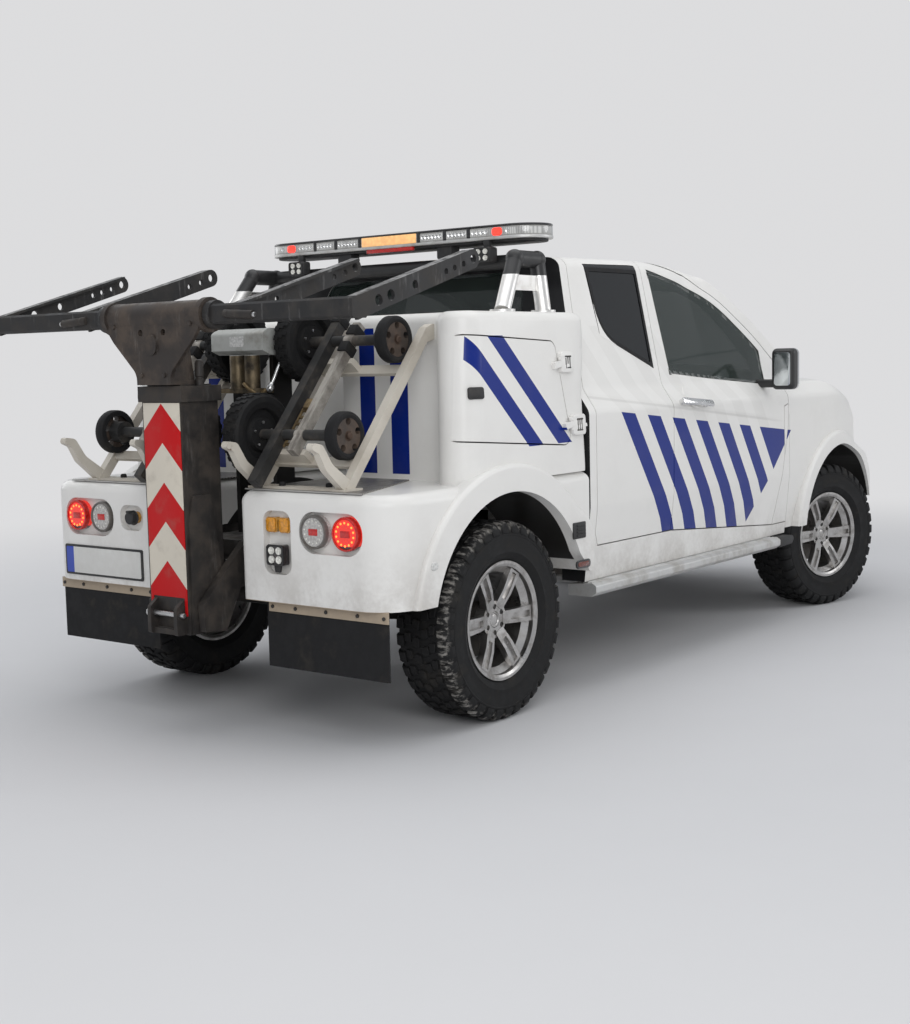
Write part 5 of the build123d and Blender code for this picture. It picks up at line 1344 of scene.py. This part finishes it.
latch = fitted("latch", "locker_door_right", "right", roundedBox(-0.175, 1.249, 0.066, 0.044, 0.009), 0.006)
tongue = fitted("tongue", "locker_door_right", "right", roundedBox(-0.187, 1.249, 0.030, 0.028, 0.006),
                0.010)
onBothSides(joinAs("latch", [latch, tongue]), "lockerLatch", "black", "locker_door_body_")
hingeCovers = {"high": 0.082, "wide": 0.090, "places": [(0.412, 1.353, -0.915), (0.478, 1.104, -0.925)],
               "lean": 0.04, "sunk": 0.012, "thick": 0.028, "face": 0.010,
               "upright": (0.007, 0.050, 0.0025), "across": (-0.014, 0, 0.014),
               "level": (0.045, 0.0065, 0.003), "up": (-0.022, 0.022)}


def sidePlate(name, x, z, wide, high, radius, side, thick, edge=0.0015):
    outline = [spot(u, side + hingeCovers["lean"] * (v - z), v)
               for u, v in roundedBox(x, z, wide, high, radius)]
    return outlinePiece(name, outline, Vector((0, -thick, 0)), edge)


for index, (x, z, side) in enumerate(hingeCovers["places"]):
    h = hingeCovers
    cover = sidePlate("cover", x, z, h["wide"], h["high"], 0.014, side + h["sunk"], h["thick"], 0.004)
    onBothSides(cover, f"hingeCover{index}", "white")
    slots = [sidePlate("slot", x + step, z, *h["upright"], side - h["face"], 0.0070) for step in h["across"]]
    slots += [sidePlate("slot", x, z + step, *h["level"], side - h["face"], 0.0072) for step in h["up"]]
    onBothSides(joinAs("slots", slots), f"hingeSlots{index}", "chassis")

# Flat things on the pod's side: middle along and up, width, height, corner radius
podTrim = {"vent": (0.442, 0.683, 0.092, 0.066, 0.006), "slatX": 0.450, "slat": (0.060, 0.007, 0.0025),
           "slats": [0.663, 0.6765, 0.690, 0.7035], "ovalRim": (0.468, 0.545, 0.105, 0.034, 0.0165, 7),
           "oval": (0.468, 0.545, 0.080, 0.020, 0.0095, 7), "mark": (-0.492, 0.655, 0.040, 0.030, 0.014, 7)}


def onPod(name, box, thick):
    return fitted(name, "rear_body", "right", roundedBox(*box), thick)


slats = [onPod("slat", (podTrim["slatX"], z, *podTrim["slat"]), 0.008) for z in podTrim["slats"]]
vent = joinAs("vent", [onPod("vent", podTrim["vent"], 0.004)] + slats)
onBothSides(vent, "lowerVent", "black")
onBothSides(onPod("oval", podTrim["ovalRim"], 0.004), "ovalRim", "gloss")
onBothSides(onPod("oval", podTrim["oval"], 0.006), "ovalMarker", "ovalLens")
onBothSides(onPod("mark", podTrim["mark"], 0.003), "flareMarker", "clear")

# Each trim has the door's body, its glass, and corners with how far their rounding reaches
windowTrims = {
    "access": ("access_door_body_", "access_glass_right",
               [(0.862, 1.4335, 0.115), (1.2365, 1.3062, 0.030), (1.2845, 1.6865, 0.022),
                (0.862, 1.6865, 0.035)]),
    "front": ("front_door_body_", "front_glass_right",
              [(1.366, 1.279, 0.025), (1.778, 1.2475, 0), (2.296, 1.2455, 0.030), (2.302, 1.350, 0.030),
               (1.742, 1.668, 0), (1.700, 1.6865, 0), (1.382, 1.6865, 0.025)]),
}
trimWide = {"front": 0.021, "access": 0.016, "thick": 0.0035, "bodyColouredFrom": 0.1}


def roundedCorner(before, corner, after, reach, steps=6):
    corner = Vector(corner)
    start = corner + (Vector(before) - corner).normalized() * reach
    stop = corner + (Vector(after) - corner).normalized() * reach
    shares = [step / steps for step in range(steps + 1)]
    return [tuple(start * (1 - t) ** 2 + corner * 2 * t * (1 - t) + stop * t ** 2) for t in shares]


for stem, (body, glassNode, corners) in windowTrims.items():
    outline, gussets = [], []
    for index, (x, z, reach) in enumerate(corners):
        if not reach:
            outline.append((x, z))
            continue
        arc = roundedCorner(corners[index - 1][:2], (x, z), corners[(index + 1) % len(corners)][:2], reach)
        outline += arc
        tip = Vector((x, z)) + (Vector((x, z)) - Vector(arc[len(arc) // 2])) * 0.12
        gusset = fitted("gusset", glassNode, "right", [tuple(tip)] + arc[::-1], trimWide["thick"] - 0.0006,
                        0, -0.0015)
        gussets.append((gusset, reach > trimWide["bodyColouredFrom"]))
    trim = fitted(stem + "Trim", glassNode, "right", outline, trimWide["thick"], 0, -0.0015)
    activate(trim)
    outward = Vector((0, -0.957, 0.29))
    for face in trim.data.polygons:
        face.select = abs(face.normal.dot(outward)) > 0.9
    bpy.ops.object.mode_set(mode="EDIT")
    bpy.ops.mesh.select_mode(type="FACE")
    bpy.ops.mesh.inset(thickness=trimWide[stem], depth=0)
    bpy.ops.mesh.bridge_edge_loops()
    leaveEdit()
    softenEdges(fixNormals(trim), 0.0008, 1)
    rubber = joinAs(stem + "Trim", [trim] + [gusset for gusset, coloured in gussets if not coloured])
    onBothSides(reshape(rubber, cabShift, 0.03), stem + "WindowRubber", "flap", body)
    for gusset, coloured in gussets:
        if coloured:
            onBothSides(reshape(gusset, cabShift, 0.06), stem + "WindowCorner", "white",
                        body)
print("doors and sides")


# Side steps and deck stops

stepEnd = [(2.292, 0.398), (2.440, 0.402), (2.461, 0.424), (2.450, 0.446), (2.292, 0.450)]
piece = outlinePiece("stepEnd", [spot(x, -0.952, z) for x, z in stepEnd], Vector((0, 0.112, 0)), 0.008, 3)
onBothSides(piece, "stepEnd", "black")
stepRib = {"rear": 0.575, "front": 2.275, "z": 0.4505, "radius": 0.0035,
           "across": (-0.850, -0.868, -0.886, -0.904, -0.922)}
ribs = []
for y in stepRib["across"]:
    rear, front = (spot(stepRib[end], y, stepRib["z"]) for end in ("rear", "front"))
    ribs.append(rodPiece("rib", rear, front, stepRib["radius"], 0, 8))
onBothSides(joinAs("ribs", ribs), "stepRibs", "step")
stopProfile = [(0, 0.024), (0.009, 0.023), (0.0125, 0.018), (0.0125, 0.004), (0.016, 0.002),
               (0.016, -0.002), (0, -0.002)]
stops = [spunPiece("stop", stopProfile, spot(x, y, 0.920), (0, 0, 1), 20)
         for x, y in ((-0.618, -0.352), (-0.594, -0.560))]
onBothSides(joinAs("stops", stops), "deckStops", "flap")
print("steps and stops")


# Stowed dollies

slopeFoot, slopeLean = (-0.625, 0.9203), math.radians(50)
stations = {"s": (0.180, 0.623), "n": 0.084, "rimFace": -0.6445, "nutFace": -0.6430}
rimBolt = {"up": 0.045, "foot": -0.215, "face": -0.224, "radius": 0.006, "count": 5}


def onSlope(s, n, y):
    return spot(slopeFoot[0] + s * math.cos(slopeLean) - n * math.sin(slopeLean), y,
                slopeFoot[1] + s * math.sin(slopeLean) + n * math.cos(slopeLean))


def slopeBar(name, s0, s1, n0, n1, y0, y1, edge=0.002):
    corners = [onSlope(s, n, y0) for s, n in ((s0, n0), (s1, n0), (s1, n1), (s0, n1))]
    return outlinePiece(name, corners, Vector((0, y1 - y0, 0)), edge)


# Bars of the ratchet and its strap: along the slope, away from it, and across, each from and to
ratchet = {
    "rails": [(0.135, 0.315, 0.064, 0.074, -0.388, -0.380), (0.135, 0.315, 0.064, 0.074, -0.342, -0.334)],
    "firstRung": 0.142, "rungPitch": 0.031, "rungLong": 0.011, "rungs": 6,
    "rung": (0.065, 0.073, -0.386, -0.340), "pawl": (0.300, 0.345, 0.060, 0.092, -0.392, -0.352),
    "wraps": [(0.640, 0.685, 0.050, 0.108, -0.4345, -0.3935), (0.560, 0.605, 0.050, 0.108, -0.4345, -0.3935),
              (0.700, 0.735, 0.055, 0.112, -0.333, -0.287)],
}
ladder = [slopeBar("rail", *rail) for rail in ratchet["rails"]]
for step in range(ratchet["rungs"]):
    s = ratchet["firstRung"] + step * ratchet["rungPitch"]
    ladder.append(slopeBar("rung", s, s + ratchet["rungLong"], *ratchet["rung"], 0.0015))
ladder.append(slopeBar("pawl", *ratchet["pawl"], 0.006))
onBothSides(joinAs("ladder", ladder), "ratchetLadder", "brass")
wraps = [slopeBar("wrap", *wrap, 0.003) for wrap in ratchet["wraps"]]
onBothSides(joinAs("wraps", wraps), "strapWraps", "flap")

discRim = [(0.064, 0.0), (0.074, 0.004), (0.084, 0.001), (0.0875, -0.006), (0.0875, -0.036),
           (0.084, -0.042), (0.064, -0.042)]
hubNut = [(0, 0.012), (0.010, 0.011), (0.014, 0.007), (0.014, 0.001), (0.024, -0.001), (0.026, -0.006),
          (0, -0.006)]
# Each row of knobs: its place across the wheel, and its phase
knobs = {"count": 26, "low": 0.146, "high": 0.1545, "rows": [(-0.212, 0.5), (-0.170, 0.0), (-0.191, 0.25)],
         "outline": [(-0.011, -0.010), (0.008, -0.012), (0.011, 0.009), (-0.008, 0.012)]}
rims, nuts, treads, rimBolts = [], [], [], []
for s in stations["s"]:
    hub = onSlope(s, stations["n"], 0)
    rims.append(spunPiece("rim", discRim, hub + Vector((0, stations["rimFace"], 0)), (0, -1, 0), 44))
    nuts.append(spunPiece("nut", hubNut, hub + Vector((0, stations["nutFace"], 0)), (0, -1, 0), 24))
    for y, phase in knobs["rows"]:
        corners = [(x, y + side, knobs["low"]) for x, side in knobs["outline"]]
        knob = outlinePiece("knob", corners, Vector((0, 0, knobs["high"] - knobs["low"])), 0.0012, 1)
        knob.rotation_euler = (0, math.tau / knobs["count"] * phase, 0)
        settle(knob)
        knob.location = hub
        treads.append(ringCopies(settle(knob), hub, (0, 1, 0), knobs["count"]))
    foot, face = (hub + Vector((0, rimBolt[end], rimBolt["up"])) for end in ("foot", "face"))
    bolt = rodPiece("bolt", foot, face, rimBolt["radius"], 0.001, 6)
    rimBolts.append(ringCopies(bolt, hub, (0, 1, 0), rimBolt["count"]))
onBothSides(joinAs("rims", rims), "discRims", "flap")
onBothSides(joinAs("nuts", nuts), "discNuts", "brown")
onBothSides(joinAs("treads", treads), "dollyTreads", "tyre")
onBothSides(joinAs("rimBolts", rimBolts), "dollyRimBolts", "rod")
print("dollies")


# Winch

label = fitted("winchLabel", "winch", "rear", roundedBox(0.0, 1.459, 0.075, 0.040, 0.003), 0.0008, 0.0003,
               0.0005)
dress(label, "clear")
lever = {"top": (-0.40, -0.165, 1.404), "knob": (-0.452, -0.150, 1.292), "radius": 0.0065,
         "barRight": (-0.40, -0.200, 1.404), "barLeft": (-0.40, -0.128, 1.404), "barRadius": 0.0055}
shaft = rodPiece("shaft", spot(*lever["top"]), spot(*lever["knob"]), lever["radius"], 0.001, 16)
crank = rodPiece("bar", spot(*lever["barRight"]), spot(*lever["barLeft"]), lever["barRadius"], 0.001, 16)
knobProfile = [(0, 0.030), (0.008, 0.028), (0.013, 0.020), (0.0145, 0.010), (0.011, -0.004),
               (0.007, -0.012), (0, -0.012)]
knob = spunPiece("knob", knobProfile, spot(*lever["knob"]),
                 (spot(*lever["knob"]) - spot(*lever["top"])).normalized(), 24)
dress(joinAs("winchLever", [shaft, crank, knob]), "rod")
hookPath = [(-0.470, -0.020, 1.300), (-0.474, -0.050, 1.278), (-0.470, -0.085, 1.262),
            (-0.462, -0.112, 1.262), (-0.456, -0.126, 1.276)]
links = [rodPiece("link", spot(*start), spot(*stop), 0.0075, 0.002, 16)
         for start, stop in zip(hookPath, hookPath[1:])]
dress(joinAs("ropeHook", links), "brass")
print("winch")


# Mirrors, wipers and front lamps

pane = rearPlate("mirrorGlass", 2.1915, roundedBox(-1.010, 1.290, 0.086, 0.162, 0.016), 0.0025, 0.0008)
onBothSides(pane, "mirrorPane", "mirrorGlass", "front_door_body_")

wipers = {"pivots": [(2.712, -0.10, 0.50), (2.712, 0.42, 0.52)], "lift": 0.012}
for index, (x, y, reach) in enumerate(wipers["pivots"]):
    marks = []
    for along, back in ((0.0, 0.0), (reach * 0.55, 0.075), (reach, 0.13)):
        place, normal = castOn("cab_glass", spot(x - back, y - along, 2.2), Vector((0, 0, -1)))
        marks.append(place + normal * wipers["lift"])
    arm = rodPiece("arm", marks[0], marks[1], 0.006, 0.001, 12)
    blade = rodPiece("blade", marks[1].lerp(marks[0], 0.5), marks[2], 0.005, 0.001, 12)
    cap = rodPiece("cap", marks[0] + Vector((0, 0, -0.010)), marks[0] + Vector((0, 0, 0.010)), 0.014, 0.003,
                   20)
    wiper = reshape(joinAs(f"wiper{index}", [arm, blade, cap]), cabShift)
    dress(wiper, "black")
fogLamp = {"centre": (3.780, -0.6175, 0.480), "way": (0.77, -0.64, 0), "facets": 40,
           "profile": [(0, 0.004), (0.030, 0.003), (0.044, -0.002), (0.048, 0.004), (0.053, 0.004),
                       (0.054, -0.012), (0.070, -0.014), (0.070, -0.024), (0, -0.024)]}
piece = spunPiece("fogLamp", fogLamp["profile"], spot(*fogLamp["centre"]), fogLamp["way"],
                  fogLamp["facets"])
onBothSides(piece, "fogLamp", "clear")
intake = {"x": 3.850, "z": 0.49, "wide": 1.0, "high": 0.26, "corner": 0.01, "depth": 0.010,
          "barX": 3.868, "barHalf": 0.47, "barRadius": 0.006, "bars": (0.455, 0.490, 0.525)}
outline = roundedBox(0, intake["z"], intake["wide"], intake["high"], intake["corner"])
plate = rearPlate("intakePlate", intake["x"], outline, intake["depth"])
barX, barHalf = intake["barX"], intake["barHalf"]
bars = [rodPiece("intakeBar", spot(barX, -barHalf, z), spot(barX, barHalf, z), intake["barRadius"])
        for z in intake["bars"]]
dress(joinAs("intakeMesh", [plate] + bars), "black")
print("mirrors, wipers and front lamps")


# Camera, floor and light

view = {"x": -4.482, "y": -4.121, "z": 1.376, "yaw": 37.6, "pitch": 5.95, "roll": -1.31, "lens": 51.715,
        "sensor": 36}
deselectAll()
bpy.ops.object.camera_add(location=(0, 0, 0))
camera = bpy.context.active_object
camera.name = "camera"
camera.data.lens = view["lens"]
camera.data.sensor_width = view["sensor"]
camera.data.clip_end = 200
yaw = Matrix.Rotation(math.radians(view["yaw"] - 90), 4, "Z")
pitch = Matrix.Rotation(math.radians(90 - view["pitch"]), 4, "X")
roll = Matrix.Rotation(math.radians(view["roll"]), 4, "Z")
camera.matrix_world = Matrix.Translation(spot(view["x"], view["y"], view["z"])) @ yaw @ pitch @ roll
bpy.context.scene.camera = camera

studio = {"floor": 90, "floorColour": (0.64, 0.64, 0.65), "backdrop": (0.72, 0.72, 0.73), "world": 0.5,
          "fadeFrom": 2.6, "fadeTo": 7.5}
bpy.ops.mesh.primitive_plane_add(size=studio["floor"], location=(0, 0, 0))
floor = takeNew("floor")
floorFinish, tree, coords, axes, shader = startFinish("paleFloor", Roughness=0.7)
setColour(tree, shader, tint(tree, noise(tree, coords, 3, 4), studio["floorColour"],
                             [c * 0.97 for c in studio["floorColour"]]))
away = wire(tree, "ShaderNodeVectorMath", {0: coords}, operation="LENGTH").outputs["Value"]
glow = wire(tree, "ShaderNodeEmission", {"Color": (*studio["backdrop"], 1), "Strength": 1.0})
fade = ramp(tree, away, studio["fadeFrom"], studio["fadeTo"])
blend = wire(tree, "ShaderNodeMixShader", {0: fade, 1: shader.outputs[0], 2: glow.outputs[0]})
tree.links.new(blend.outputs[0], tree.nodes["Material Output"].inputs["Surface"])
settle(floor)
floor.data.materials.append(floorFinish)

world = bpy.data.worlds.new("studio")
bpy.context.scene.world = world
world.use_nodes = True
sky = world.node_tree
soft = sky.nodes["Background"]
soft.inputs["Color"].default_value = (0.92, 0.95, 1.0, 1)
soft.inputs["Strength"].default_value = studio["world"]
paper = wire(sky, "ShaderNodeBackground", {"Color": (*studio["backdrop"], 1), "Strength": 1.0})
rays = wire(sky, "ShaderNodeLightPath").outputs
seen = maths(sky, "MAXIMUM", rays["Is Camera Ray"], rays["Is Transmission Ray"])
mixed = wire(sky, "ShaderNodeMixShader", {0: seen, 1: soft.outputs[0], 2: paper.outputs[0]})
sky.links.new(mixed.outputs[0], sky.nodes["World Output"].inputs["Surface"])

lamps = [  # name, place, aim, size, power
    ("overhead", (-0.5, -0.5, 6.0), (0.0, 0.0, 0.8), 7.0, 160),
    ("rearRight", (-6.5, -5.0, 3.6), (-0.5, 0.0, 0.9), 4.0, 170),
    ("frontRight", (4.5, -6.5, 3.6), (0.8, 0.0, 0.9), 4.0, 90),
    ("left", (-1.0, 7.0, 3.6), (0.0, 0.0, 0.9), 5.0, 90),
]
for name, place, aim, size, power in lamps:
    bpy.ops.object.light_add(type="AREA", location=place)
    lamp = bpy.context.active_object
    lamp.name = name
    lamp.data.shape = "DISK"
    lamp.data.size = size
    lamp.data.energy = power
    lamp.rotation_mode = "QUATERNION"
    lamp.rotation_quaternion = (Vector(aim) - Vector(place)).to_track_quat("-Z", "Y")
bpy.context.scene.view_settings.view_transform = "Standard"
print("studio set")
